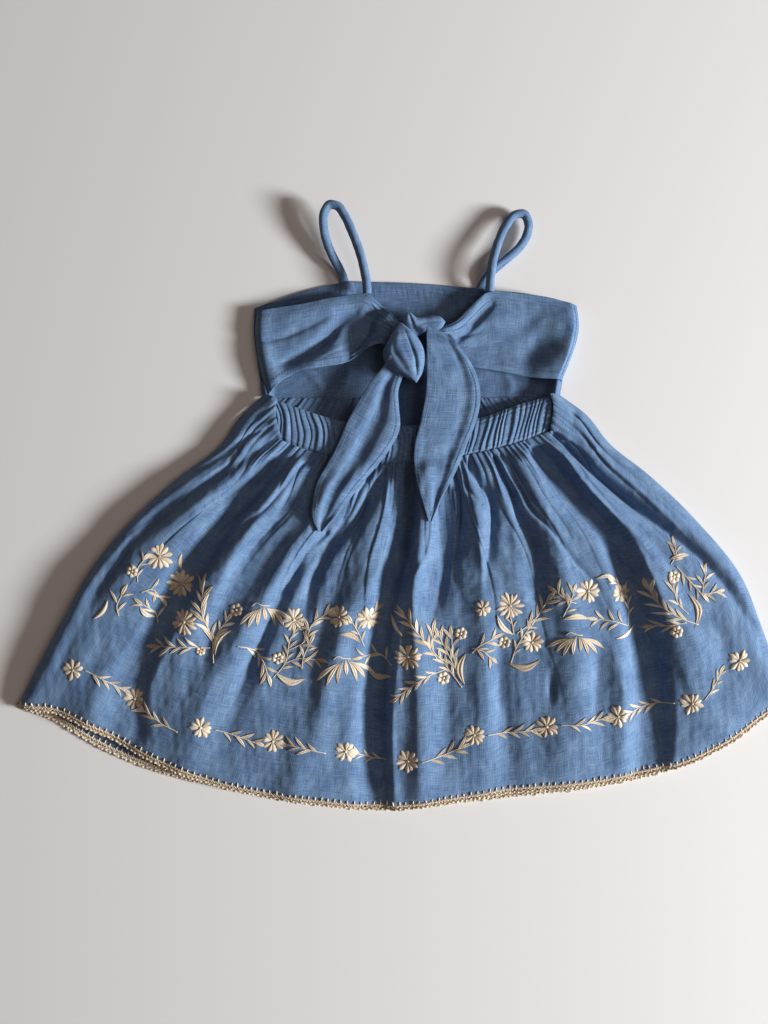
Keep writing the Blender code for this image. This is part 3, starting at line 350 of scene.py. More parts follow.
def patch(top, foot, left, right, rows, places=None):
    """Plan points between four drawn edges, at the given shares of the way down and across."""
    down = np.asarray(rows, float)[:, None, None]
    across = (np.linspace(0.0, 1.0, len(top)) if places is None else places)[None, :, None]
    straight = (1 - down) * top[None] + down * foot[None]
    left_bow = left[:, None] - ((1 - down) * top[0] + down * foot[0])
    right_bow = right[:, None] - ((1 - down) * top[-1] + down * foot[-1])
    return straight + (1 - across) * left_bow + across * right_bow


def strip(first, second, places):
    """Plan points from one long edge to the other, at the given shares of the way across."""
    return first[:, None] + (second - first)[:, None] * places[None, :, None]


def run_of(line):
    """Distance of each point of a line from its start."""
    return np.concatenate(([0.0], np.cumsum(np.linalg.norm(np.diff(line, axis=0), axis=1))))


def run_down(grid):
    """Distance of each point of a grid from its top row, down its own column."""
    steps = np.linalg.norm(np.diff(grid, axis=0), axis=2)
    return np.concatenate((np.zeros((1, grid.shape[1])), np.cumsum(steps, axis=0)))


def inward_from(plan, side):
    """Distance of each point of a grid from one of its sides, along its own row or column."""
    edge = {"top": plan[:1], "foot": plan[-1:], "left": plan[:, :1], "right": plan[:, -1:]}[side]
    return np.linalg.norm(plan - edge, axis=2)


def unit(vectors):
    """The same directions, each one long."""
    return vectors / np.linalg.norm(vectors, axis=1)[:, None]


def mound(distance, width):
    """A smooth swell: 1 in its middle, and fading over the given width."""
    return np.exp(-(distance / width) ** 2)


def fold_relief(x, y, folds):
    """Height that the listed ridges and troughs add at plan points."""
    relief = np.zeros_like(x)
    for fold in folds:
        count = max(12, int(path_length(fold.path) / 1.5))
        shares = np.linspace(0.0, 1.0, count)
        spine = smooth_path(fold.path, shares)
        heading = np.gradient(spine, axis=0)
        step = np.linalg.norm(heading, axis=1)
        heading /= step[:, None]
        reach = 3.0 * max(fold.half_width) * (1 + abs(fold.lean))
        low, high = spine.min(axis=0) - reach, spine.max(axis=0) + reach
        near = (x > low[0]) & (x < high[0]) & (y > low[1]) & (y < high[1])
        if not near.any():
            continue
        spots = np.column_stack((x[near], y[near]))
        closest = np.empty(len(spots), int)
        for start in range(0, len(spots), 20000):
            away = spots[start:start + 20000, None] - spine[None]
            closest[start:start + 20000] = np.argmin((away ** 2).sum(axis=2), axis=1)
        away = spots - spine[closest]
        ahead = (away * heading[closest]).sum(axis=1)
        sideways = heading[closest, 0] * away[:, 1] - heading[closest, 1] * away[:, 0]
        share = shares[closest] + ahead / (step[closest] * (count - 1))
        beyond = np.where((share < 0) | (share > 1), np.abs(ahead), 0.0)
        share = np.clip(share, 0.0, 1.0)
        width = fold.half_width[0] + (fold.half_width[1] - fold.half_width[0]) * share
        side = sideways / np.sqrt(sideways ** 2 + (0.3 * width) ** 2)
        width = width * (1 + fold.lean * side)
        strength = blend_through([0.0, 0.5, 1.0], [fold.strength[0], 1.0, fold.strength[1]], share)
        distance = np.sqrt(sideways ** 2 + beyond ** 2 + (0.15 * width) ** 2) / width
        relief[near] += fold.rise * strength * np.exp(-distance ** fold.form)
    return relief


def rounding(inward, reach):
    """Share of the full height that a rounded side reaches at a distance in from its edge."""
    share = np.clip(inward / reach, 0.0, 1.0)
    return np.sqrt(1.0 - (1.0 - share) ** 2)


def ease(low, high, value):
    """Rise smoothly from 0 at low to 1 at high."""
    share = np.clip((value - low) / (high - low), 0.0, 1.0)
    return share * share * (3 - 2 * share)


def ripple(x, y, size, seed):
    """Gentle uneven waves of about the given size, from -1 to 1."""
    own = np.random.default_rng(seed)
    total = np.zeros_like(x)
    waves = 7
    for _ in range(waves):
        turn = own.uniform(0, np.pi)
        pitch = size * own.uniform(0.7, 1.6)
        total += np.sin((x * np.cos(turn) + y * np.sin(turn)) * 2 * np.pi / pitch + own.uniform(0, 6.3))
    return total / waves ** 0.5 / 1.5


def at_height(plan, height):
    """Plan points with their heights."""
    return np.dstack((plan[..., 0], plan[..., 1], height))


def turned_edge(points, side, floor, depth=4.0, thick=1.1):
    """The grid with its edge rolled under by a narrow turning, kept above the floor."""
    grid = points if side in ("top", "foot") else points.transpose(1, 0, 2)
    if side in ("top", "left"):
        grid = grid[::-1]
    out = grid[-1] - grid[-2]
    out[:, 2] *= 0.3
    out /= np.linalg.norm(out, axis=1)[:, None] + 1e-9
    rows = []
    section = ((0.28, 0.12), (0.45, 0.5), (0.3, 0.88), (-0.1, 1.0), (-depth * 0.5, 1.05), (-depth, 1.0))
    for ahead, drop in section:
        row = grid[-1] + out * ahead * (thick if ahead > 0 else 1.0)
        row[:, 2] = np.maximum(grid[-1][:, 2] - drop * thick, floor)
        rows.append(row)
    grid = np.concatenate((grid, np.array(rows)))
    if side in ("top", "left"):
        grid = grid[::-1]
    return grid if side in ("top", "foot") else grid.transpose(1, 0, 2)


def grid_faces(rows, columns, start=0):
    """Quads of a grid of points, row by row."""
    index = start + np.arange(rows * columns).reshape(rows, columns)
    return np.stack((index[:-1, :-1], index[:-1, 1:], index[1:, 1:], index[1:, :-1]), axis=-1).reshape(-1, 4)


def make_mesh(name, places, faces, material, threads=None, shades=None):
    """A smooth mesh piece from its points in millimetres, riding on the dress."""
    mesh = bpy.data.meshes.new(name)
    places = (np.asarray(places, float) + MIDDLE) * MM
    mesh.from_pydata(places.tolist(), [], [list(map(int, face)) for face in faces])
    mesh.polygons.foreach_set("use_smooth", np.ones(len(mesh.polygons), bool))
    if threads is not None:
        layer = mesh.uv_layers.new(name="cloth")
        corners = np.empty(len(mesh.loops), int)
        mesh.loops.foreach_get("vertex_index", corners)
        layer.data.foreach_set("uv", np.asarray(threads, np.float32)[corners].ravel())
    if shades is not None:
        tone = mesh.attributes.new("tone", "FLOAT", "POINT")
        tone.data.foreach_set("value", np.asarray(shades, np.float32))
    mesh.validate()
    mesh.update()
    piece = bpy.data.objects.new(name, mesh)
    mesh.materials.append(material)
    bpy.context.scene.collection.objects.link(piece)
    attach(piece, "root")
    return piece


def cloth_piece(name, points, material, node, floor=UNDER_BACK,
                turned=("top", "foot", "left", "right"), fullness=1.0, depth=4.0):
    """A thin shell of cloth from a grid of points, its edges turned under, in the place of its CAD node."""
    for side in turned:
        points = turned_edge(points, side, floor, depth)
    rows, columns = points.shape[:2]
    steps = np.linalg.norm(np.diff(points, axis=1), axis=2).mean(axis=0)
    across = np.concatenate(([0.0], np.cumsum(steps))) * fullness
    threads = np.dstack((np.broadcast_to(across, (rows, columns)), run_down(points))).reshape(-1, 2) * MM
    piece = make_mesh(name, points.reshape(-1, 3), grid_faces(rows, columns), material, threads)
    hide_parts(node)
    return piece


def bed_of(*pieces):
    """A tree for finding the upper surface of pieces."""
    places, faces = [], []
    for piece in pieces:
        start = len(places)
        places.extend(v.co.copy() for v in piece.data.vertices)
        faces.extend([start + i for i in p.vertices] for p in piece.data.polygons)
    return BVHTree.FromPolygons(places, faces)


def height_on(tree, spots, missing=0.0):
    """Height in millimetres of the surface under each plan spot, or another value where there is none."""
    spots = (np.asarray(spots, float)[:, :2] + MIDDLE[:2]) * MM
    found = np.full(len(spots), missing, float)
    down = Vector((0, 0, -1))
    for i, (x, y) in enumerate(spots):
        hit = tree.ray_cast(Vector((x, y, 0.2)), down)[0]
        if hit is not None:
            found[i] = hit.z / MM
    return found


def tubes(paths, radius, sides=6, flat=1.0):
    """Points, faces and lengthwise places of round cords along paths of points."""
    places, faces, threads = [], [], []
    turn = np.linspace(0, 2 * np.pi, sides, endpoint=False)
    start = 0
    for number, path in enumerate(paths):
        path = np.asarray(path, float)
        size = radius[number] if hasattr(radius, "__len__") else radius
        size = np.broadcast_to(size, len(path))
        heading = np.gradient(path, axis=0)
        heading /= np.linalg.norm(heading, axis=1)[:, None] + 1e-9
        side = np.cross(heading, (0, 0, 1.0))
        side /= np.linalg.norm(side, axis=1)[:, None] + 1e-9
        up = np.cross(side, heading)
        ring = (path[:, None] + size[:, None, None] * (np.cos(turn)[None, :, None] * side[:, None]
                                                       + flat * np.sin(turn)[None, :, None] * up[:, None]))
        places.append(ring.reshape(-1, 3))
        run = np.broadcast_to(run_of(path)[:, None], ring.shape[:2])
        round_it = np.broadcast_to(turn / (2 * np.pi), ring.shape[:2])
        threads.append(np.dstack((run, round_it)).reshape(-1, 2))
        index = start + np.arange(len(path) * sides).reshape(len(path), sides)
        beside = np.roll(index, -1, axis=1)
        faces.extend(np.dstack((index[:-1], index[1:], beside[1:], beside[:-1])).reshape(-1, 4).tolist())
        faces.append(index[0].tolist())
        faces.append(index[-1][::-1].tolist())
        start += len(path) * sides
    return np.concatenate(places), faces, np.concatenate(threads)


def math_step(nodes, links, operation, values, clamp=False):
    """One step of arithmetic on plain values and on the outputs of other nodes."""
    step = nodes.new("ShaderNodeMath")
    step.operation = operation
    step.use_clamp = clamp
    for socket, value in zip(step.inputs, values):
        if isinstance(value, bpy.types.NodeSocket):
            links.new(value, socket)
        else:
            socket.default_value = value
    return step.outputs[0]


def streaks(nodes, links, along, over, detail):
    """Noise with so many changes a metre along and over the cloth."""
    cloth = nodes.new("ShaderNodeUVMap")
    cloth.uv_map = "cloth"
    place = nodes.new("ShaderNodeMapping")
    place.inputs["Scale"].default_value = (along, over, 1.0)
    links.new(cloth.outputs["UV"], place.inputs["Vector"])
    made = nodes.new("ShaderNodeTexNoise")
    made.inputs["Scale"].default_value = 1.0
    made.inputs["Detail"].default_value = detail
    links.new(place.outputs["Vector"], made.inputs["Vector"])
    return made.outputs["Fac"]


def thread_group():
    """Shared look of linen threads: uneven slubs both ways, a fine grain and faded patches."""
    group = bpy.data.node_groups.new("linen threads", "ShaderNodeTree")
    group.interface.new_socket("Tint", in_out="OUTPUT", socket_type="NodeSocketFloat")
    group.interface.new_socket("Height", in_out="OUTPUT", socket_type="NodeSocketFloat")
    nodes, links = group.nodes, group.links
    result = nodes.new("NodeGroupOutput")
    slubs = -1.225
    weft, warp, grain = (90.0, 1500.0, 2.0), (1500.0, 90.0, 2.0), (2300.0, 2300.0, 1.0)
    for sizes, weight in ((weft, 0.9), (warp, 0.75), (grain, 0.8)):
        slubs = math_step(nodes, links, "MULTIPLY_ADD", (streaks(nodes, links, *sizes), weight, slubs))
    fading = math_step(nodes, links, "MULTIPLY_ADD", (streaks(nodes, links, 60.0, 60.0, 4.0), 0.7, -0.35))
    worn = math_step(nodes, links, "ADD", (fading, slubs))
    tint = math_step(nodes, links, "ADD", (worn, 0.5), clamp=True)
    links.new(tint, result.inputs["Tint"])
    links.new(slubs, result.inputs["Height"])
    return group


def fabric(name, roughness, specular, sheen):
    """A new plain fabric."""
    material = bpy.data.materials.new(name)
    material.use_nodes = True
    shader = material.node_tree.nodes["Principled BSDF"]
    shader.inputs["Roughness"].default_value = roughness
    shader.inputs["Specular IOR Level"].default_value = specular
    shader.inputs["Sheen Weight"].default_value = sheen
    return material


def colour_by(material, tint, stops):
    """Give a fabric its colour from a tint, through stops (tint, colour)."""
    nodes, links = material.node_tree.nodes, material.node_tree.links
    ramp = nodes.new("ShaderNodeValToRGB")
    marks = ramp.color_ramp.elements
    for mark, (place, colour) in zip(marks, (stops[0], stops[-1])):
        mark.position = place
        mark.color = (*colour, 1.0)
    for place, colour in stops[1:-1]:
        marks.new(place).color = (*colour, 1.0)
    links.new(tint, ramp.inputs["Fac"])
    links.new(ramp.outputs["Color"], nodes["Principled BSDF"].inputs["Base Color"])


def raise_threads(material, height, strength, distance):
    """Raise a fabric's threads by a height, up to the given distance in metres."""
    nodes, links = material.node_tree.nodes, material.node_tree.links
    relief = nodes.new("ShaderNodeBump")
    relief.inputs["Strength"].default_value = strength
    relief.inputs["Distance"].default_value = distance
    links.new(height, relief.inputs["Height"])
    links.new(relief.outputs["Normal"], nodes["Principled BSDF"].inputs["Normal"])


def linen(name, threads, dark, middle, pale):
    """Blue slubbed linen, from its darkest to its palest threads."""
    material = fabric(name, roughness=0.86, specular=0.22, sheen=0.06)
    woven = material.node_tree.nodes.new("ShaderNodeGroup")
    woven.node_tree = threads
    colour_by(material, woven.outputs["Tint"], ((0.12, dark), (0.5, middle), (0.9, pale)))
    raise_threads(material, woven.outputs["Height"], 0.35, 0.0006)
    return material


def cotton(name, dark, pale):
    """Embroidery or crochet cotton, its strands lying along each stitch and its shade uneven, darker where a
    piece's tone is low; on the embroidery that low tone is painted shade at the petals' edges.
    """
    material = fabric(name, roughness=0.62, specular=0.35, sheen=0.15)
    nodes, links = material.node_tree.nodes, material.node_tree.links
    strands = streaks(nodes, links, 300.0, 2600.0, 2.0)
    tone = nodes.new("ShaderNodeAttribute")
    tone.attribute_name = "tone"
    sharper = math_step(nodes, links, "MULTIPLY_ADD", (strands, 1.5, -0.75), clamp=True)
    tint = math_step(nodes, links, "ADD", (sharper, tone.outputs["Fac"]), clamp=True)
    colour_by(material, tint, ((0.1, dark), (0.85, pale)))
    raise_threads(material, strands, 0.6, 0.0004)
    return material


def gather_relief(along, down, sizes, seed, sharp=0.75):
    """Uneven gathers across a line: each has its own width, height and reach down the cloth."""
    own = np.random.default_rng(seed)
    before, after = 20.0, 30.0
    total = along.max() + after
    relief = np.zeros_like(along)
    for pitch, rise, start, full, reach in sizes:
        widths = pitch * own.uniform(0.62, 1.45, int(total / pitch * 1.3) + 8)
        edges = np.concatenate(([-before], -before + np.cumsum(widths)))
        cell = np.clip(np.searchsorted(edges, along, side="right") - 1, 0, len(widths) - 1)
        share = np.clip((along - edges[cell]) / widths[cell], 0, 1)
        heights = own.uniform(0.5, 1.3, len(widths))
        reaches = reach * own.uniform(0.45, 1.35, len(widths))[cell]
        skew = own.uniform(0.38, 0.85, len(widths))[cell]
        body = np.sin(np.pi * share ** skew) ** sharp
        grown = ease(0.0, full, down - start) if full > 0 else 1.0
        relief += rise * heights[cell] * body * grown * (1 - ease(0.25 * reaches, reaches, down - start))
    return relief


def skirt_surface(x, y):
    """Height of the skirt back at plan points, without its gathers."""
    stations, levels = np.array(SKIRT_LEVEL)[::-1].T
    return blend_through(stations, levels, y) + fold_relief(x, y, MAIN_FOLDS)


def band_lean(along, share):
    """How far sideways the gathers of the waistband run, bowed at the left and leaning at the right."""
    right = ease(120.0, 190.0, along)
    return (1 - right) * 3.0 * np.sin(np.pi * share) - right * 8.0 * (share - 0.5)


def skirt_waist(columns):
    """Plan points along the waist edge of the skirt back, round both ends of the waistband."""
    foot = smooth_path(BAND_FOOT, np.linspace(0, 1, 121)) - (0.0, SEAM)
    bow = 2.6
    ends = []
    corners = ((BACK_LEFT[0], BAND_TOP[0], foot[0], -1), (BACK_RIGHT[0], BAND_TOP[-1], foot[-1], 1))
    for corner, top, bottom, out in corners:
        corner = np.array(corner)
        upper = np.array((top[0] - out * END_LAP, top[1] + 1.0))
        lower = np.array((bottom[0] - out * END_LAP, bottom[1]))
        run = [corner + (upper - corner) * share for share in (0.0, 0.5)]
        run += [upper + (lower - upper) * share + (out * bow * np.sin(np.pi * share ** 0.8), 0.0)
                for share in (0.0, 0.17, 0.33, 0.5, 0.66, 0.83, 1.0)]
        ends.append(run)
    line = np.array(ends[0] + list(foot) + ends[1][::-1])
    places = np.linspace(0, len(line) - 1, columns)
    return np.column_stack([np.interp(places, np.arange(len(line)), line[:, i]) for i in range(2)]), places


def make_skirt_back(material):
    """The back of the skirt: gathered at the waistband, with its great folds running to the hem."""
    fine_part = 0.25
    shares = np.concatenate((np.linspace(0, fine_part, 62)[:-1], np.linspace(fine_part, 1, 104)))
    waist, index = skirt_waist(560)
    places = index / index[-1]
    hem = smooth_path(HEM_BACK, places)
    plan = patch(waist, hem, smooth_path(BACK_LEFT, shares), smooth_path(BACK_RIGHT, shares), shares, places)
    x, y = plan[..., 0], plan[..., 1]
    from_left, from_right = inward_from(plan, "left"), inward_from(plan, "right")
    down = run_down(plan)
    round_over = rounding(from_left, SIDE_ROUND) * rounding(from_right, SIDE_ROUND)
    falling = HEM_SHARE + (1 - HEM_SHARE) * rounding(inward_from(plan, "foot"), HEM_FALL)

    along = run_of(waist)[None] + 0 * x
    wander = 1.6 * np.sin(down / 21.0 + along / 29.0) * ease(4, 30, down)
    gathers = gather_relief(along + wander - band_lean(along, 1.0), down, GATHER_SIZES, 11)
    gathers -= 0.5 * np.exp(-down / 1.6)
    detail = fold_relief(x, y, FINE_FOLDS)
    hem_width = 560.0
    spread = places[None] * hem_width + 0 * x
    swell = 0.8 * ripple(x, y, 62.0, 3) + 0.6 * ripple(spread, 0.35 * down, 20.0, 4)
    patches = ease(-0.3, 0.6, ripple(x, y, 90.0, 16))
    swell += 0.5 * (0.6 - np.abs(ripple(spread, 0.4 * down, 26.0, 14))) * patches
    swell += 0.36 * (0.6 - np.abs(ripple(x, y, 17.0, 5))) + 0.15 * ripple(x, y, 7.0, 17)
    waves = ease(8, 60, down)

    height = skirt_surface(x, y) * round_over * falling
    below_band, rising = 0.4, 16.0
    seam_level = np.minimum(height, BAND_LEVEL - UNDER_BACK - below_band)
    height = seam_level + (height - seam_level) * ease(0.0, rising, down)
    height += (gathers + detail + swell * waves) * round_over ** 2 * (0.45 + 0.55 * falling)
    for end, foot in ((BAND_TOP[0], BAND_FOOT[0]), (BAND_TOP[-1], BAND_FOOT[-1])):
        beside = np.abs(x - end[0] - (foot[0] - end[0]) * (end[1] - y) / (end[1] - foot[1]))
        end_rise, end_width = 3.4, 8.0
        height += end_rise * mound(beside, end_width) * ease(foot[1] - 12, foot[1] + 4, y) * round_over
    thickness, edge_width = 1.1, 4.0
    inside = np.clip(np.minimum(from_left, from_right) / edge_width, 0, 1)
    height = UNDER_BACK + np.maximum(np.maximum(height, 0.0), thickness * inside)
    piece = cloth_piece("skirt_back_cloth", at_height(plan, height), material, "skirt_back", turned=("foot",),
                        fullness=1.15)
    return piece


def make_skirt_front(material):
    """The front of the skirt, under the back and flat on the surface."""
    columns, shares = 260, np.linspace(0, 1, 90)
    waist = np.linspace(SKIRT_LEFT[0], SKIRT_RIGHT[0], columns)
    hem = smooth_path(HEM_FRONT, np.linspace(0, 1, columns))
    plan = patch(waist, hem, smooth_path(SKIRT_LEFT, shares), smooth_path(SKIRT_RIGHT, shares), shares)
    x, y = plan[..., 0], plan[..., 1]
    down = run_down(plan)
    along = waist[:, 0][None] - waist[0, 0] + 0 * x
    inward = np.minimum(inward_from(plan, "left"), inward_from(plan, "right"))
    gathered = ease(10, 26, inward) * (1 - ease(50, 76, down))
    relief = gather_relief(along, down, FRONT_GATHER_SIZES, 21) * gathered
    height = CLOTH + relief + 0.15 * ripple(x, y, 40.0, 6) * ease(8, 30, inward)
    piece = cloth_piece("skirt_front_cloth", at_height(plan, height), material, "skirt_front",
                        floor=FLOOR_GAP, turned=("foot",), fullness=1.1)
    return piece


def make_bodice_front(material):
    """The front bodice, seen from inside through the open back, with its sides raised in the openings."""
    shares = np.linspace(0, 1, 90)
    across = np.linspace(0, 1, 200)
    foot = np.linspace(BODICE_LEFT[-1], BODICE_RIGHT[-1], len(across))
    plan = patch(smooth_path(BODICE_TOP, across), foot, smooth_path(BODICE_LEFT, shares),
                 smooth_path(BODICE_RIGHT, shares), shares)
    x, y = plan[..., 0], plan[..., 1]
    down = inward_from(plan, "top")
    inward = np.minimum(inward_from(plan, "left"), inward_from(plan, "right"))
    turning = 0.5 * (1 - ease(6.2, 7.2, down))
    for strap in (LEFT_STRAP_ROUTE[0], RIGHT_STRAP_ROUTE[0]):
        turning = turning + 2.4 * mound(x - strap[0], 6.5) * mound(down, 9.0)
    puckers = 0.16 * np.sin(x * 1.35 + 2 * np.sin(x / 9.0)) * mound(down - 6.6, 3.0)
    relief = fold_relief(x, y, BODICE_FOLDS) + 0.25 * ripple(x, y, 30.0, 8) + 0.1 * ripple(x, y, 11.0, 9)
    height = CLOTH + turning + puckers + np.maximum(relief, -0.6) * ease(3, 16, inward) * ease(4, 16, down)
    for side, (middle, width, rise, low, high) in BODICE_SIDES.items():
        height += rise * mound(inward_from(plan, side) - middle, width) * (1 - ease(low, high, y))
    piece = cloth_piece("front_bodice_cloth", at_height(plan, height), material, "front_bodice",
                        floor=FLOOR_GAP, turned=("top", "left", "right"))
    return piece


def make_waistband(material):
    """The back waistband, drawn up by its elastic into deep uneven gathers."""
    places, shares = np.linspace(0, 1, 700), np.linspace(0, 1, 44)
    top, foot = smooth_path(BAND_TOP, places), smooth_path(BAND_FOOT, places)
    plan = top[None] + (foot - top)[None] * shares[:, None, None]
    start = path_length([SKIRT_LEFT[0], BAND_TOP[0]]) + path_length([BAND_TOP[0], BAND_FOOT[0]])
    along = run_of(foot)[None] + start + 0 * shares[:, None]
    down = shares[:, None] + 0 * along
    wobble = 0.5 * np.sin(down * 7.0 + along / 5.0)
    body = gather_relief(along + wobble - band_lean(along, down), 0 * along, GATHER_SIZES[:1], 11, 0.9)
    pinch = 0.6 + 0.4 * np.sin(np.pi * np.clip(down, 0.02, 0.98)) ** 0.5
    from_top, from_foot = down * BAND_WIDTH, (1 - down) * BAND_WIDTH
    crown = np.sin(np.pi * down) ** 0.7 - mound(from_top, 1.8) - mound(from_foot, 1.6)
    channel = 0.35 * (mound((down - 0.14) * BAND_WIDTH, 0.8) + mound((down - 0.86) * BAND_WIDTH, 0.8))
    height = BAND_LEVEL + crown - channel + 0.85 * body * pinch - 0.3
    piece = cloth_piece("waistband_back_cloth", at_height(plan, height), material, "waistband_back",
                        floor=BAND_LEVEL - 2.0, fullness=2.0)
    return piece


def make_back_panel(name, node, top_line, foot_line, side_line, folds, seed, material):
    """One side of the back bodice, drawn in towards the knot, with narrow turnings along its edges."""
    across, shares = np.linspace(0, 1, 230), np.linspace(0, 1, 120)
    top, foot = smooth_path(top_line, across), smooth_path(foot_line, across)
    end = top[-1] + (foot[-1] - top[-1]) * shares[:, None]
    plan = patch(top, foot, smooth_path(side_line, shares), end, shares)
    x, y = plan[..., 0], plan[..., 1]
    inward = inward_from(plan, "left")
    reach = inward.max()
    stations, levels = np.array(PANEL_RISE).T
    rise = blend_through(stations, levels, inward / reach)
    near_end = np.clip((reach - inward) / 14.0, 0.0, 1.0)
    relief = fold_relief(x, y, folds) * (0.15 + 0.85 * near_end)
    wander = 2.0 * np.sin(inward / 17.0)
    creases = gather_relief(shares[:, None] * 30 + 0 * x + wander, 0 * x, PANEL_CREASE_SIZES, seed)
    relief += ease(0.45, 1.0, inward / reach) ** 2 * creases
    relief += (0.35 * ripple(x, y, 34.0, 12) + 0.12 * ripple(x, y, 10.0, 13)) * near_end
    turning = np.zeros_like(x)
    for side, (full, ended, thick) in PANEL_TURNINGS.items():
        turning += thick * (1 - ease(full, ended, inward_from(plan, side)))
    height = UNDER_BACK + np.maximum(rise + relief, 2 * CLOTH) * rounding(inward, BODICE_ROUND) + turning
    height = np.maximum(height, UNDER_BACK + 1.5 * np.clip(inward / 3, 0, 1))
    height -= 0.7 * mound(inward - 4.0, 0.8)
    piece = cloth_piece(name, at_height(plan, height), material, node, turned=("top", "foot", "left"))
    return piece


def make_wrap(name, node, left_line, right_line, rise, bluntness, folds, material):
    """Wound cloth of the knot: a domed strip between its two edges, which turn down to what it lies on."""
    shares, places = np.linspace(0.0, 1.0, 90), np.linspace(0, 1, 56)
    left, right = smooth_path(left_line, shares), smooth_path(right_line, shares)
    plan = strip(left, right, places)
    x, y = plan[..., 0], plan[..., 1]
    width = np.linalg.norm(right - left, axis=1)[:, None]
    dome = (np.clip(1 - np.abs(2 * places - 1) ** bluntness, 0, 1) ** 0.5)[None]
    swell = np.clip(width / 20.0, 0.0, 1.0) ** 0.6
    relief = (fold_relief(x, y, folds) + 0.18 * ripple(x, y, 9.0, 15)) * np.clip(dome * 1.6, 0, 1)
    height = KNOT_FLOOR + (rise * dome + relief) * swell
    piece = cloth_piece(name, at_height(plan, np.maximum(height, KNOT_FLOOR)), material, node,
                        turned=("left", "right"), floor=KNOT_FLOOR - 1.0)
    return piece


def bed_under(plan, carriers, top_start):
    """Smooth height that a tie end lies on: down from the knot, then over what carries it."""
    lowest_carrier, deepest_sag = 6.0, 2.6
    under = height_on(carriers, plan.reshape(-1, 2)).reshape(plan.shape[:2])
    covered = under > lowest_carrier
    bed = np.where(covered, under, 0.0)
    for _ in range(7):
        beside = [np.roll(bed, step, side) for side in (0, 1) for step in (1, -1)]
        bed = np.maximum.reduce([bed, *beside])
    first = min(int(np.argmax(covered.any(axis=1))) + 6, len(plan) - 2)
    sill = bed[first].max()
    fall = np.interp(np.arange(first), [0, first * 0.3, first], [top_start, PANEL_END_LEVEL - 0.6, sill])
    bed[:first] = np.maximum(bed[:first], fall[:, None])
    bed = np.maximum(bed, bed.max(axis=1, keepdims=True) - deepest_sag)
    for _ in range(20):
        wide = np.pad(bed, 1, mode="edge")
        around = wide[:-2, 1:-1] + wide[2:, 1:-1] + wide[1:-1, :-2] + wide[1:-1, 2:]
        bed = np.maximum((around + 2 * bed) / 6, under * covered)
    return bed


def make_tie_tail(name, node, outer_line, inner_line, section, carriers, top_start, seed, material):
    """A loose end of the tie, folded lengthwise, falling from the knot over the waistband and the skirt."""
    shares, places = np.linspace(0, 1, 150), np.linspace(0, 1, 56)
    outer, inner = smooth_path(outer_line, shares), smooth_path(inner_line, shares)
    plan = strip(outer, inner, places)
    x, y = plan[..., 0], plan[..., 1]
    width = np.linalg.norm(inner - outer, axis=1)[:, None]
    stations, rises = np.array(section).T
    profile = blend_through(stations, rises, places)[None]
    swell = np.clip(width / 30.0, 0.0, 1.0)
    crease = 0.25 * ripple(x, y, 16.0, seed) + 0.1 * ripple(x, y, 7.0, seed + 1)
    hemmed = 0.3 * (1 - ease(2.2, 2.9, np.minimum(places, 1 - places)[None] * width))
    opening = (0.25 + 0.75 * ease(0.0, 0.12, shares))[:, None]
    clear = 1.5
    height = bed_under(plan, carriers, top_start) + clear + swell * (profile + crease) * opening + hemmed
    piece = cloth_piece(name, at_height(plan, height), material, node, floor=0.0,
                        turned=("left", "right"), depth=0.9)
    return piece


def make_strap(name, node, route, material):
    """A narrow strap standing in a loop: a strip rolled into a tube, its long edges meeting at a seam."""
    rings, sides = 150, 22
    path = smooth_path(route, np.linspace(0, 1, rings))
    heading = unit(np.gradient(path, axis=0))
    side = unit(np.cross(heading, (0.0, 0.0, 1.0)))
    up = np.cross(side, heading)
    turn = np.linspace(0, 2 * np.pi, sides) + STRAP_SEAM
    sunk = 1 - 0.14 * mound(np.minimum(np.arange(sides), np.arange(sides)[::-1]), 1.3)
    run = np.arange(rings)[:, None]
    wear = 0.97 + 0.03 * np.sin(run * 0.55 + 2 * turn) * np.sin(run * 0.21 + 1)
    wear = wear + 0.012 * dice.standard_normal((rings, sides))
    size = STRAP_RADIUS * wear * sunk
    size[:, -1] = size[:, 0]
    flat = 0.3 + 0.58 * ease(0.02, 0.14, run / rings)
    points = (path[:, None] + (size * np.cos(turn))[..., None] * side[:, None]
              + (flat * size * np.sin(turn))[..., None] * up[:, None])
    piece = cloth_piece(name, points, material, node, floor=0.0, turned=())
    return piece


# Embroidery, in millimetres and radians: a flower, a leafy stem with or without a leaf at its tip, a single
# leaf with or without a line down its middle, and a fan of long leaves
Bloom = namedtuple("Bloom", "x y reach petals turn")
Sprig = namedtuple("Sprig", "path leaves length spread tip", defaults=(1,))
Leaf = namedtuple("Leaf", "base tip width bow split", defaults=(0.0, False))
Fan = namedtuple("Fan", "x y reach turn spread leaves")

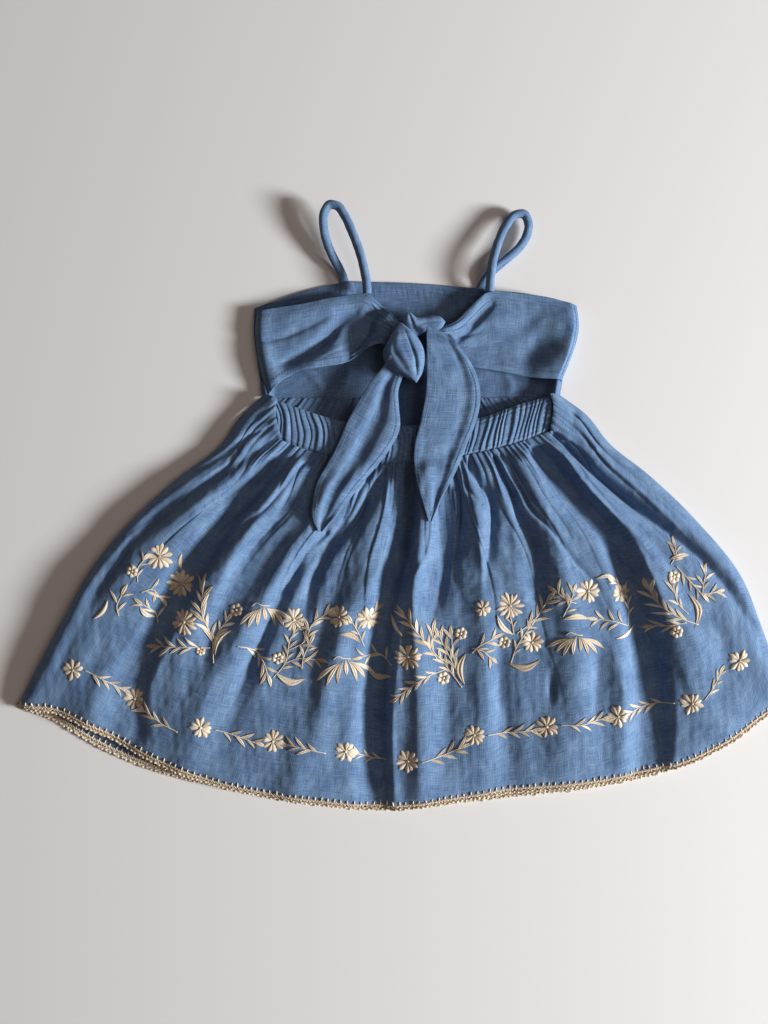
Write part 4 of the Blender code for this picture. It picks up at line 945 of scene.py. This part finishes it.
# Flowers of the wide band, then of the garland above the hem
DAISIES = [
    Bloom(-183, -39, 10.5, 11, 0.2), Bloom(-168, -60, 10.5, 12, 0.9), Bloom(-164, -88, 10.5, 13, 0.4),
    Bloom(-82, -87, 9.8, 12, 0.1), Bloom(-26, -86, 9.6, 12, 0.6), Bloom(4, -114, 10.5, 13, 0.3),
    Bloom(81, -76, 10.5, 13, 0.5), Bloom(60, -78, 6.8, 8, 0.2), Bloom(140, -65, 9.6, 11, 0.7),
    Bloom(166, -67, 8.0, 10, 0.2), Bloom(98, -104, 8.6, 10, 0.8), Bloom(-48, -84, 9.0, 10, 0.5),
]
GARLAND = [
    Bloom(-249, -125, 8.6, 9, 0.2), Bloom(-204, -148, 8.8, 10, 0.7), Bloom(-152, -168, 8.6, 10, 0.1),
    Bloom(-98, -179, 9.0, 10, 0.5), Bloom(-43, -187, 8.6, 9, 0.9), Bloom(4, -194, 9.2, 10, 0.3),
    Bloom(54, -174, 8.6, 10, 0.6), Bloom(109, -168, 9.0, 10, 0.2), Bloom(163, -160, 8.6, 9, 0.8),
    Bloom(218, -150, 8.8, 10, 0.4), Bloom(255, -118, 9.0, 10, 0.1),
]

# The rest of the wide band: small rosettes (x, y, reach), fans, single leaves and leafy stems
ROSETTES = [(-203, -50, 4.6), (-125, -79, 5.0), (-94, -116, 4.6), (44, -97, 4.8), (31, -131, 5.0),
            (77, -104, 4.8), (204, -54, 5.0), (205, -95, 4.8), (-152, -110, 3.6)]
FANS = [Fan(-104, -77, 20, -1.5, 1.9, 7), Fan(-43, -117, 23, -1.5, 1.9, 7), Fan(131, -99, 20, -1.6, 2.3, 8)]
LEAVES = [
    Leaf((-141, -113), (-128, -94), 4.4, 0.22, True), Leaf((-96, -127), (-73, -131), 5.6, -0.22, True),
    Leaf((47, -136), (48, -112), 5.6, 0.2, True), Leaf((84, -98), (71, -83), 4.4, 0.15, True),
    Leaf((80, -120), (104, -117), 5.4, -0.2, True), Leaf((219, -92), (215, -67), 5.4, -0.24, True),
    Leaf((120, -86), (140, -86), 4.6, 0.12, True), Leaf((-48, -97), (-32, -104), 4.4, 0.16, True),
    Leaf((-222, -72), (-233, -86), 3.2, 0.12), Leaf((-198, -77), (-188, -85), 3.8, -0.2, True),
    Leaf((146, -56), (163, -58), 3.4, 0.2, True), Leaf((202, -41), (217, -38), 4.0, 0.1, True),
    Leaf((-26, -127), (-8, -130), 4.6, -0.2, True), Leaf((161, -101), (178, -92), 3.0, -0.1, True),
    Leaf((-168, -50), (-167, -37), 3.0, 0.1), Leaf((0, -99), (-8, -84), 3.0, 0.1),
]
SPRIGS = [
    Sprig([(-197, -66), (-188, -64), (-184, -70)], 4, 9.0, 0.8),
    Sprig([(-214, -84), (-215, -76), (-211, -68)], 3, 10.0, 0.9),
    Sprig([(-199, -58), (-199, -48), (-194, -41)], 2, 6.0, 0.8),
    Sprig([(-186, -90), (-188, -82), (-196, -75)], 2, 8.0, 0.8),
    Sprig([(-142, -119), (-144, -100), (-150, -82), (-149, -62)], 6, 11.5, 0.55),
    Sprig([(-143, -112), (-140, -98), (-132, -87)], 5, 8.0, 0.7),
    Sprig([(-145, -108), (-162, -107), (-186, -107)], 5, 10.0, 0.6),
    Sprig([(-124, -106), (-116, -108), (-104, -121), (-102, -128)], 6, 10.0, 0.65),
    Sprig([(-98, -131), (-89, -120), (-84, -100), (-78, -92)], 3, 8.0, 0.6),
    Sprig([(-86, -110), (-74, -103), (-68, -90), (-57, -82)], 6, 9.5, 0.6),
    Sprig([(-90, -120), (-78, -116), (-65, -117)], 4, 9.0, 0.8),
    Sprig([(-76, -124), (-75, -116), (-70, -105)], 4, 9.0, 0.75),
    Sprig([(-29, -107), (-33, -97), (-38, -88)], 2, 7.0, 0.6),
    Sprig([(-34, -94), (-30, -88), (-20, -80)], 3, 8.0, 0.8),
    Sprig([(-8, -122), (-18, -114), (-30, -115)], 5, 9.0, 0.8),
    Sprig([(26, -116), (14, -100), (2, -84)], 5, 10.5, 0.5),
    Sprig([(45, -138), (30, -118), (22, -108), (23, -96)], 5, 10.0, 0.55),
    Sprig([(44, -132), (36, -116), (28, -100)], 5, 10.5, 0.55),
    Sprig([(40, -122), (38, -112), (37, -100)], 4, 9.5, 0.7),
    Sprig([(34, -124), (16, -130), (-3, -144)], 7, 9.5, 0.5),
    Sprig([(52, -112), (58, -106), (68, -101)], 4, 9.5, 0.75),
    Sprig([(52, -108), (60, -110), (66, -115)], 3, 8.0, 0.7),
    Sprig([(86, -97), (98, -88), (109, -73)], 7, 10.0, 0.65),
    Sprig([(82, -120), (86, -108), (96, -92)], 4, 8.0, 0.6),
    Sprig([(84, -98), (82, -88), (80, -80)], 1, 6.0, 0.6),
    Sprig([(130, -74), (124, -72), (116, -66)], 5, 9.0, 0.85),
    Sprig([(120, -84), (124, -76), (128, -66)], 3, 8.0, 0.8),
    Sprig([(172, -92), (160, -88), (147, -86)], 6, 9.0, 0.8),
    Sprig([(172, -92), (173, -78), (168, -64), (160, -58)], 1, 7.0, 0.5),
    Sprig([(222, -90), (206, -84), (190, -72), (186, -64)], 7, 10.5, 0.5),
    Sprig([(214, -82), (206, -74), (202, -60)], 5, 10.0, 0.5),
    Sprig([(212, -88), (202, -90), (192, -92)], 3, 9.0, 0.5),
    Sprig([(206, -46), (215, -56), (226, -68)], 1, 8.0, 0.6),
    Sprig([(226, -68), (227, -60), (229, -52)], 4, 8.5, 0.7),
    Sprig([(226, -68), (231, -67), (237, -66)], 3, 8.5, 0.7),
    Sprig([(202, -45), (206, -38), (206, -31)], 4, 8.0, 0.85),
]

# Leafy stems between the flowers of the garland
GARLAND_SPRIGS = [
    Sprig([(-240, -125), (-226, -132), (-214, -140)], 6, 9.5, 0.55),
    Sprig([(-170, -172), (-182, -166), (-196, -156)], 6, 10.0, 0.55),
    Sprig([(-142, -170), (-126, -175), (-112, -180)], 6, 9.5, 0.55),
    Sprig([(-58, -188), (-74, -184), (-88, -181)], 6, 9.5, 0.55),
    Sprig([(-12, -195), (-24, -194), (-34, -190)], 4, 8.0, 0.55),
    Sprig([(14, -194), (30, -190), (44, -184)], 6, 9.5, 0.6),
    Sprig([(64, -174), (82, -173), (99, -171)], 7, 9.5, 0.55),
    Sprig([(119, -166), (134, -166), (152, -162)], 6, 9.5, 0.55),
    Sprig([(206, -150), (190, -153), (173, -158)], 6, 9.5, 0.55),
    Sprig([(227, -147), (234, -138), (240, -128)], 4, 8.5, 0.5),
]


def petal(base, tip, width, bow=0.0, split=False, widest=0.45, rise=0.65):
    """A satin-stitched petal or leaf: plan points, rises and thread places of its domed grid."""
    base, tip = np.asarray(base, float), np.asarray(tip, float)
    rows, columns = 9, 9 if split else 5
    run = tip - base
    length = float(np.hypot(*run))
    run = run / length
    over = np.array((-run[1], run[0]))
    along = np.linspace(0.0, 1.0, rows)
    across = np.linspace(-1.0, 1.0, columns)
    taper = np.clip(np.sin(np.pi * along ** (np.log(0.5) / np.log(widest))), 0.02, 1.0)
    half = 0.5 * width * taper ** (0.9 if split else 0.62)
    middle = base + run * (along * length)[:, None] + over * (bow * length * np.sin(np.pi * along))[:, None]
    sideways = half[:, None] * across
    plan = middle[:, None] + over * sideways[..., None]
    if split:
        halves = 0.15 + 0.85 * np.sqrt(np.clip(1 - (2 * np.abs(across) - 1) ** 2, 0, 1))
        dome = halves * (np.abs(across) < 0.99)
    else:
        dome = np.sqrt(1 - 0.98 * across ** 2)
    ends = np.clip(np.sin(np.pi * np.clip(along, 0.04, 0.96)) ** 0.4, 0.3, 1)
    heights = rise * ends[:, None] * dome
    slant = (along * length)[:, None] + 0.6 * half[:, None] * np.abs(across)
    return plan, heights, np.stack((sideways, slant), axis=-1)


def flower_petals(bloom):
    """Petals of one flower, all round its middle, and the small knot in its middle."""
    made = []
    middle = np.array((bloom.x, bloom.y))
    for number in range(bloom.petals):
        turn = bloom.turn + 2 * np.pi * (number + 0.16 * dice.standard_normal()) / bloom.petals
        out = np.array((np.cos(turn), np.sin(turn)))
        reach = bloom.reach * dice.uniform(0.82, 1.06)
        width = 2 * np.pi * bloom.reach * 0.62 / bloom.petals * dice.uniform(0.92, 1.1)
        made.append(petal(middle + out * bloom.reach * 0.08, middle + out * reach, width,
                          0.04 * dice.standard_normal(), False, 0.66, 0.6))
    made.append(petal(middle - (1.3, 0), middle + (1.3, 0), 2.4, 0.0, False, 0.5, 1.2))
    return made


def sprig_leaves(sprig):
    """Leaves in turn on both sides of a stem, with one at its tip."""
    made = []
    shares = np.linspace(0.2, 0.92, max(sprig.leaves, round(path_length(sprig.path) / 5.0)))
    spots = smooth_path(sprig.path, shares)
    ahead = smooth_path(sprig.path, shares + 0.03) - smooth_path(sprig.path, shares - 0.03)
    for number, (spot, heading) in enumerate(zip(spots, ahead)):
        side = 1 if number % 2 else -1
        turn = np.arctan2(heading[1], heading[0]) + side * sprig.spread * dice.uniform(0.8, 1.15)
        length = 1.24 * sprig.length * dice.uniform(0.82, 1.1)
        tip = spot + length * np.array((np.cos(turn), np.sin(turn)))
        made.append(petal(spot, tip, 0.19 * length * dice.uniform(0.85, 1.1), -0.06 * side, True, 0.52, 0.6))
    if sprig.tip:
        end = np.array(sprig.path[-1], float)
        before = smooth_path(sprig.path, [0.9])[0]
        run = (end - before) / np.hypot(*(end - before))
        made.append(petal(end - run, end + run * sprig.length, 3.0, 0.04, True, 0.52, 0.6))
    return made


def fan_leaves(fan):
    """Long leaves that spread from a short bar, like a flower seen from its side."""
    made = []
    for number in range(fan.leaves):
        share = number / (fan.leaves - 1) - 0.5
        turn = fan.turn + fan.spread * share
        base = np.array((fan.x + 8.0 * share, fan.y + 1.2 * np.cos(6 * share)))
        length = fan.reach * (0.62 + 0.38 * abs(2 * share) ** 0.7) * dice.uniform(0.88, 1.05)
        tip = base + length * np.array((np.cos(turn), np.sin(turn)))
        made.append(petal(base, tip, 3.3, 0.07 * np.sign(share), True, 0.58, 0.6))
    return made


def knot_ring(x, y, reach):
    """A small rosette: rounded knots in a ring about one in the middle."""
    middle = np.array((x, y))
    made = [petal(middle - (1.2, 0.3), middle + (1.2, 0.3), 2.3, 0.0, False, 0.5, 1.2)]
    for turn in 2 * np.pi * np.arange(6) / 6 + 0.3:
        out = np.array((np.cos(turn), np.sin(turn)))
        made.append(petal(middle + out * reach * 0.3, middle + out * reach, reach * 0.85, 0.0, False,
                          0.55, 0.95))
    return made


def stitched_patches():
    """Every petal and leaf of the embroidery, flat."""
    patches = []
    for bloom in DAISIES + GARLAND:
        patches += flower_petals(bloom)
    for sprig in SPRIGS + GARLAND_SPRIGS:
        patches += sprig_leaves(sprig)
    for fan in FANS:
        patches += fan_leaves(fan)
    for leaf in LEAVES:
        patches.append(petal(*leaf, 0.5, 0.8))
    for rosette in ROSETTES:
        patches += knot_ring(*rosette)
    return patches


def make_embroidery(skirt, material):
    """All embroidery of the skirt: petals and leaves as domed satin stitches, and stems as thin cords."""
    patches = stitched_patches()
    spots = np.concatenate([plan.reshape(-1, 2) for plan, _, _ in patches])
    ground = height_on(skirt, spots, 2.0)
    places, faces, threads, shades = [], [], [], []
    start = 0
    for plan, rises, slant in patches:
        rows, columns = rises.shape
        low = ground[start:start + rows * columns].reshape(rows, columns)
        smooth = low.copy()
        smooth[1:-1] = (low[:-2] + low[1:-1] + low[2:]) / 3
        height = np.maximum(low, smooth) + THREAD_LIFT + rises
        height[:, [0, -1]] = low[:, [0, -1]] + 0.02
        places.append(at_height(plan, height).reshape(-1, 3))
        faces.extend(grid_faces(rows, columns, start).tolist())
        threads.append(slant.reshape(-1, 2) * MM + dice.uniform(0, 1, 2))
        tone = np.clip(0.62 + 0.16 * dice.standard_normal(), 0.25, 0.95)
        # Painted shade: each petal's random tone is darkened towards its low edges and ends, and down a split
        # leaf's middle
        shades.append(tone - 0.25 * (1 - np.clip(rises / rises.max(), 0, 1)).ravel())
        start += rows * columns
    stems = [sprig.path for sprig in SPRIGS + GARLAND_SPRIGS]
    bar = ((-9, 1), (-5.5, 3.5), (-2, 2), (4, 1))
    stems += [[(fan.x + x, fan.y + y) for x, y in bar] for fan in FANS]
    lines = []
    for stem in stems:
        route = smooth_path(stem, np.linspace(0, 1, max(8, int(path_length(stem) / 1.2))))
        lines.append(np.column_stack((route, height_on(skirt, route, 2.0) + 0.3)))
    cords, cord_faces, cord_threads = tubes(lines, STEM_RADIUS, 6, 0.8)
    places.append(cords)
    faces.extend([corner + start for corner in face] for face in cord_faces)
    threads.append(cord_threads[:, ::-1] * (MM, 0.5 * MM))
    shades.append(np.full(len(cords), 0.55))
    piece = make_mesh("embroidery", np.concatenate(places), faces, material, np.concatenate(threads),
                      np.concatenate(shades))
    return piece


def along_hem(hem):
    """Points along a hem with their headings, outward directions and distances, and the hem's length."""
    line = smooth_path(hem, np.linspace(0, 1, 4000))
    run = run_of(line)
    steps = np.arange(0.0, run[-1], EDGING_STEP)
    spots = np.column_stack([np.interp(steps, run, line[:, i]) for i in range(2)])
    heading = unit(np.gradient(spots, axis=0))
    return spots, heading, np.column_stack((heading[:, 1], -heading[:, 0])), steps, run[-1]


def make_edging(name, node, hem, level, tree, material):
    """The crocheted band along a hem: a chain, rows of loops with small knots, and blanket stitches."""
    spots, heading, outward, steps, total = along_hem(hem)
    fade = rounding(np.minimum(steps, total - steps), 10.0)
    cloth = height_on(tree, spots - outward * 1.4, level + 1.3) - 1.3
    even = np.convolve(np.pad(cloth, 7, mode="edge"), np.ones(15) / 15, mode="valid")
    edge = np.maximum(level, even)
    droop = 0.35 * np.clip((edge - level) / 3.0, 0, 1)
    paths, sizes, tones = [], [], []

    def add(route, height, size, tone):
        """Keep one cord of the band."""
        paths.append(np.column_stack((route, height)))
        sizes.append(size)
        tones.append(tone)

    for phase, depth, lift in ((0.0, EDGING_DEPTH - 1.6, 0.2), (np.pi, EDGING_DEPTH - 2.1, -0.25),
                               (0.5 * np.pi, EDGING_DEPTH - 2.6, 0.0)):
        turn = steps * 2 * np.pi / PICOT_PITCH + phase + 0.5 * np.sin(steps / 23.0)
        uneven = 1 + 0.16 * np.sin(steps / 5.3 + phase) + 0.1 * np.sin(steps / 2.1)
        out = 0.9 + fade * depth * uneven * (0.5 - 0.5 * np.cos(turn)) ** 0.8
        route = spots + outward * out[:, None] - heading * 1.7 * np.sin(turn)[:, None]
        height = edge - droop * out + lift + 0.35 * np.cos(turn * 2)
        add(route, height, 0.68 + 0.12 * np.sin(steps * 2.9), 0.46)
    for side in (0.0, 0.9):
        turn = steps * 2 * np.pi / CHAIN_PITCH + side * 3.5
        route = spots + outward * (0.5 + 0.5 * side + 0.45 * np.sin(turn))[:, None]
        add(route, edge + 0.3 + 0.4 * np.cos(turn), np.full(len(steps), 0.55), 0.55)
    arc = np.linspace(-1.2, 1.2, 5)
    knot_size = np.array([0.35, 0.75, 0.95, 0.75, 0.35])
    for number, place in enumerate(np.arange(0.25 * PICOT_PITCH, total - 4, 0.5 * PICOT_PITCH)):
        at = int(place / EDGING_STEP)
        reach = (EDGING_DEPTH - (1.2 if number % 2 else 1.8)) * float(fade[at])
        bow = reach + 0.5 - 0.35 * arc ** 2
        route = spots[at] + heading[at] * arc[:, None] + outward[at] * bow[:, None]
        add(route, edge[at] - droop[at] * reach + 0.6 - 0.2 * arc ** 2, knot_size, 0.5)
    shares = np.array([0.0, 0.25, 0.5, 0.75, 1.0])
    stitch_size = np.array([0.5, 0.56, 0.55, 0.5, 0.32])
    for place in np.arange(3.0, total - 3.0, BLANKET_PITCH):
        at = int((place + dice.uniform(-0.5, 0.5)) / EDGING_STEP)
        tall = dice.uniform(2.4, 3.8)
        lean = dice.uniform(-0.5, 0.5)
        route = spots[at] - outward[at] * (tall * shares - 0.4)[:, None]
        route = route + heading[at] * (lean * shares)[:, None]
        top = height_on(tree, route, edge[at])
        top[0] = min(top[0], edge[at] + 1.2)
        top[1] = max(top[1], top[0])
        add(route, top + (0.1, 0.4, 0.45, 0.45, 0.1), stitch_size, 0.72)
    places, faces, threads = tubes(paths, sizes, 6)
    shades = np.concatenate([np.full(6 * len(path), tone + 0.12 * dice.standard_normal())
                             for path, tone in zip(paths, tones)])
    piece = make_mesh(name, places, faces, material, threads[:, ::-1] * (MM, 0.4 * MM), shades)
    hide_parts(node)
    return piece


def inside_line(line, distance):
    """Plan points of a row of stitches, set in from an edge to its right-hand side."""
    points = smooth_path(line, np.linspace(0.01, 0.99, 500))
    heading = unit(np.gradient(points, axis=0))
    return points + distance * np.column_stack((heading[:, 1], -heading[:, 0]))


def make_stitching(rows, material):
    """Machine stitches on turned edges, from rows (piece of cloth, its edge, distance in from the edge)."""
    stitches = []
    for cloth, edge, distance in rows:
        line = inside_line(edge, distance)
        tree = bed_of(cloth)
        run = run_of(line)
        for begin in np.arange(0.5, run[-1] - STITCH, STITCH):
            spots = begin + 0.8 * STITCH * np.array([0.0, 0.3, 0.7, 1.0])
            route = np.column_stack([np.interp(spots, run, line[:, i]) for i in range(2)])
            stitches.append(np.column_stack((route, height_on(tree, route, 1.0) + (-0.1, 0.14, 0.14, -0.1))))
    places, faces, threads = tubes(stitches, STITCH_RADIUS, 5)
    piece = make_mesh("machine_stitching", places, faces, material, threads[:, ::-1] * MM)
    return piece


def area_light(name, azimuth, elevation, distance, size, watts, colour):
    """Soft round light aimed at the middle of the dress, from angles in degrees."""
    lamp = bpy.data.lights.new(name, "AREA")
    lamp.shape = "DISK"
    lamp.size = size
    lamp.energy = watts
    lamp.color = colour
    item = bpy.data.objects.new(name, lamp)
    bpy.context.scene.collection.objects.link(item)
    turn, rise = np.radians(azimuth), np.radians(elevation)
    away = Vector((np.cos(turn) * np.cos(rise), np.sin(turn) * np.cos(rise), np.sin(rise)))
    item.location = away * distance
    item.rotation_euler = away.to_track_quat("Z", "Y").to_euler()


def set_camera():
    """Camera straight above the dress, as in the photo."""
    lens = bpy.data.cameras.new("view from above")
    lens.sensor_width = 36.0
    lens.lens = 29.49
    camera = bpy.data.objects.new("view from above", lens)
    camera.location = (-0.01487, -0.00084, CAMERA_HEIGHT)
    bpy.context.scene.collection.objects.link(camera)
    bpy.context.scene.camera = camera


def set_floor():
    """The plain white surface that the dress lies on."""
    material = bpy.data.materials.new("white surface")
    material.use_nodes = True
    shader = material.node_tree.nodes["Principled BSDF"]
    shader.inputs["Base Color"].default_value = (0.81, 0.795, 0.785, 1.0)
    shader.inputs["Roughness"].default_value = 0.75
    mesh = bpy.data.meshes.new("white surface")
    reach = 2.5
    corners = [(-reach, -reach, 0), (reach, -reach, 0), (reach, reach, 0), (-reach, reach, 0)]
    mesh.from_pydata(corners, [], [(0, 1, 2, 3)])
    mesh.materials.append(material)
    floor = bpy.data.objects.new("white surface", mesh)
    bpy.context.scene.collection.objects.link(floor)


def set_light():
    """Low soft daylight from the right, with dim warm light all round."""
    scene = bpy.context.scene
    world = bpy.data.worlds.new("pale room")
    world.use_nodes = True
    back = world.node_tree.nodes["Background"]
    back.inputs["Color"].default_value = (1.0, 0.74, 0.62, 1.0)
    back.inputs["Strength"].default_value = 0.105
    scene.world = world
    area_light("window", -12.0, 21.0, 3.2, 0.75, 194.0, (0.965, 0.99, 1.0))
    area_light("upper window", 4.0, 55.0, 3.0, 1.6, 11.0, (1.0, 0.93, 0.88))
    scene.view_settings.view_transform = "Standard"


threads = thread_group()
blue = linen("blue linen", threads, (0.056, 0.108, 0.23), (0.119, 0.208, 0.362), (0.217, 0.328, 0.487))
# The linen of the bodice front and skirt front is the same blue painted darker: painted shade, as these
# pieces lie under the back pieces
inside = linen("blue linen inside with painted shade", threads, (0.048, 0.09, 0.192), (0.096, 0.168, 0.302), (0.175, 0.27, 0.42))
cream = cotton("cream cotton", (0.34, 0.235, 0.145), (0.83, 0.725, 0.57))
sewing = cotton("blue sewing thread", (0.07, 0.12, 0.22), (0.16, 0.25, 0.39))

front = make_bodice_front(inside)
underskirt = make_skirt_front(inside)
make_strap("left_strap_tube", "strap_left", LEFT_STRAP_ROUTE, blue)
make_strap("right_strap_tube", "strap_right", RIGHT_STRAP_ROUTE, blue)
left_panel = make_back_panel("left_back_panel_cloth", "back_panel_left", LEFT_PANEL_TOP, LEFT_PANEL_FOOT,
                             LEFT_PANEL_SIDE, LEFT_PANEL_FOLDS, 52, blue)
right_panel = make_back_panel("right_back_panel_cloth", "back_panel_right", RIGHT_PANEL_TOP, RIGHT_PANEL_FOOT,
                              RIGHT_PANEL_SIDE, RIGHT_PANEL_FOLDS, 53, blue)
band = make_waistband(blue)
skirt = make_skirt_back(blue)
carriers = bed_of(band, skirt)
left_tail = make_tie_tail("left_tie_end_cloth", "tie_tail_left", LEFT_TAIL_OUTER, LEFT_TAIL_INNER,
                          LEFT_TAIL_SECTION, carriers, BAND_LEVEL, 41, blue)
right_tail = make_tie_tail("right_tie_end_cloth", "tie_tail_right", RIGHT_TAIL_OUTER, RIGHT_TAIL_INNER,
                           RIGHT_TAIL_SECTION, carriers, PANEL_END_LEVEL, 43, blue)
make_wrap("knot_cloth", "tie_knot", KNOT_LEFT, KNOT_RIGHT, 9.5, 4.0, KNOT_FOLDS, blue)
make_wrap("loop_cloth", "tie_loop", LOOP_LEFT, LOOP_RIGHT, 6.0, 2.6, LOOP_FOLDS, blue)
make_stitching([
    (front, BODICE_TOP, 6.7),
    (left_panel, LEFT_PANEL_TOP, 6.0), (left_panel, LEFT_PANEL_SIDE, -3.2),
    (left_panel, LEFT_PANEL_FOOT, -4.6), (right_panel, RIGHT_PANEL_TOP, -6.0),
    (right_panel, RIGHT_PANEL_SIDE, 3.2), (right_panel, RIGHT_PANEL_FOOT, 4.6),
    (left_tail, LEFT_TAIL_OUTER, -2.6), (left_tail, LEFT_TAIL_INNER, 2.6),
    (right_tail, RIGHT_TAIL_OUTER, -2.6), (right_tail, RIGHT_TAIL_INNER, 2.6),
], sewing)
skirt_tree = bed_of(skirt)
make_embroidery(skirt_tree, cream)
make_edging("front_hem_crochet", "hem_edging_front", HEM_FRONT, 1.1, bed_of(underskirt), cream)
make_edging("back_hem_crochet", "hem_edging_back", HEM_BACK, 2.9, skirt_tree, cream)

set_camera()
set_floor()
set_light()
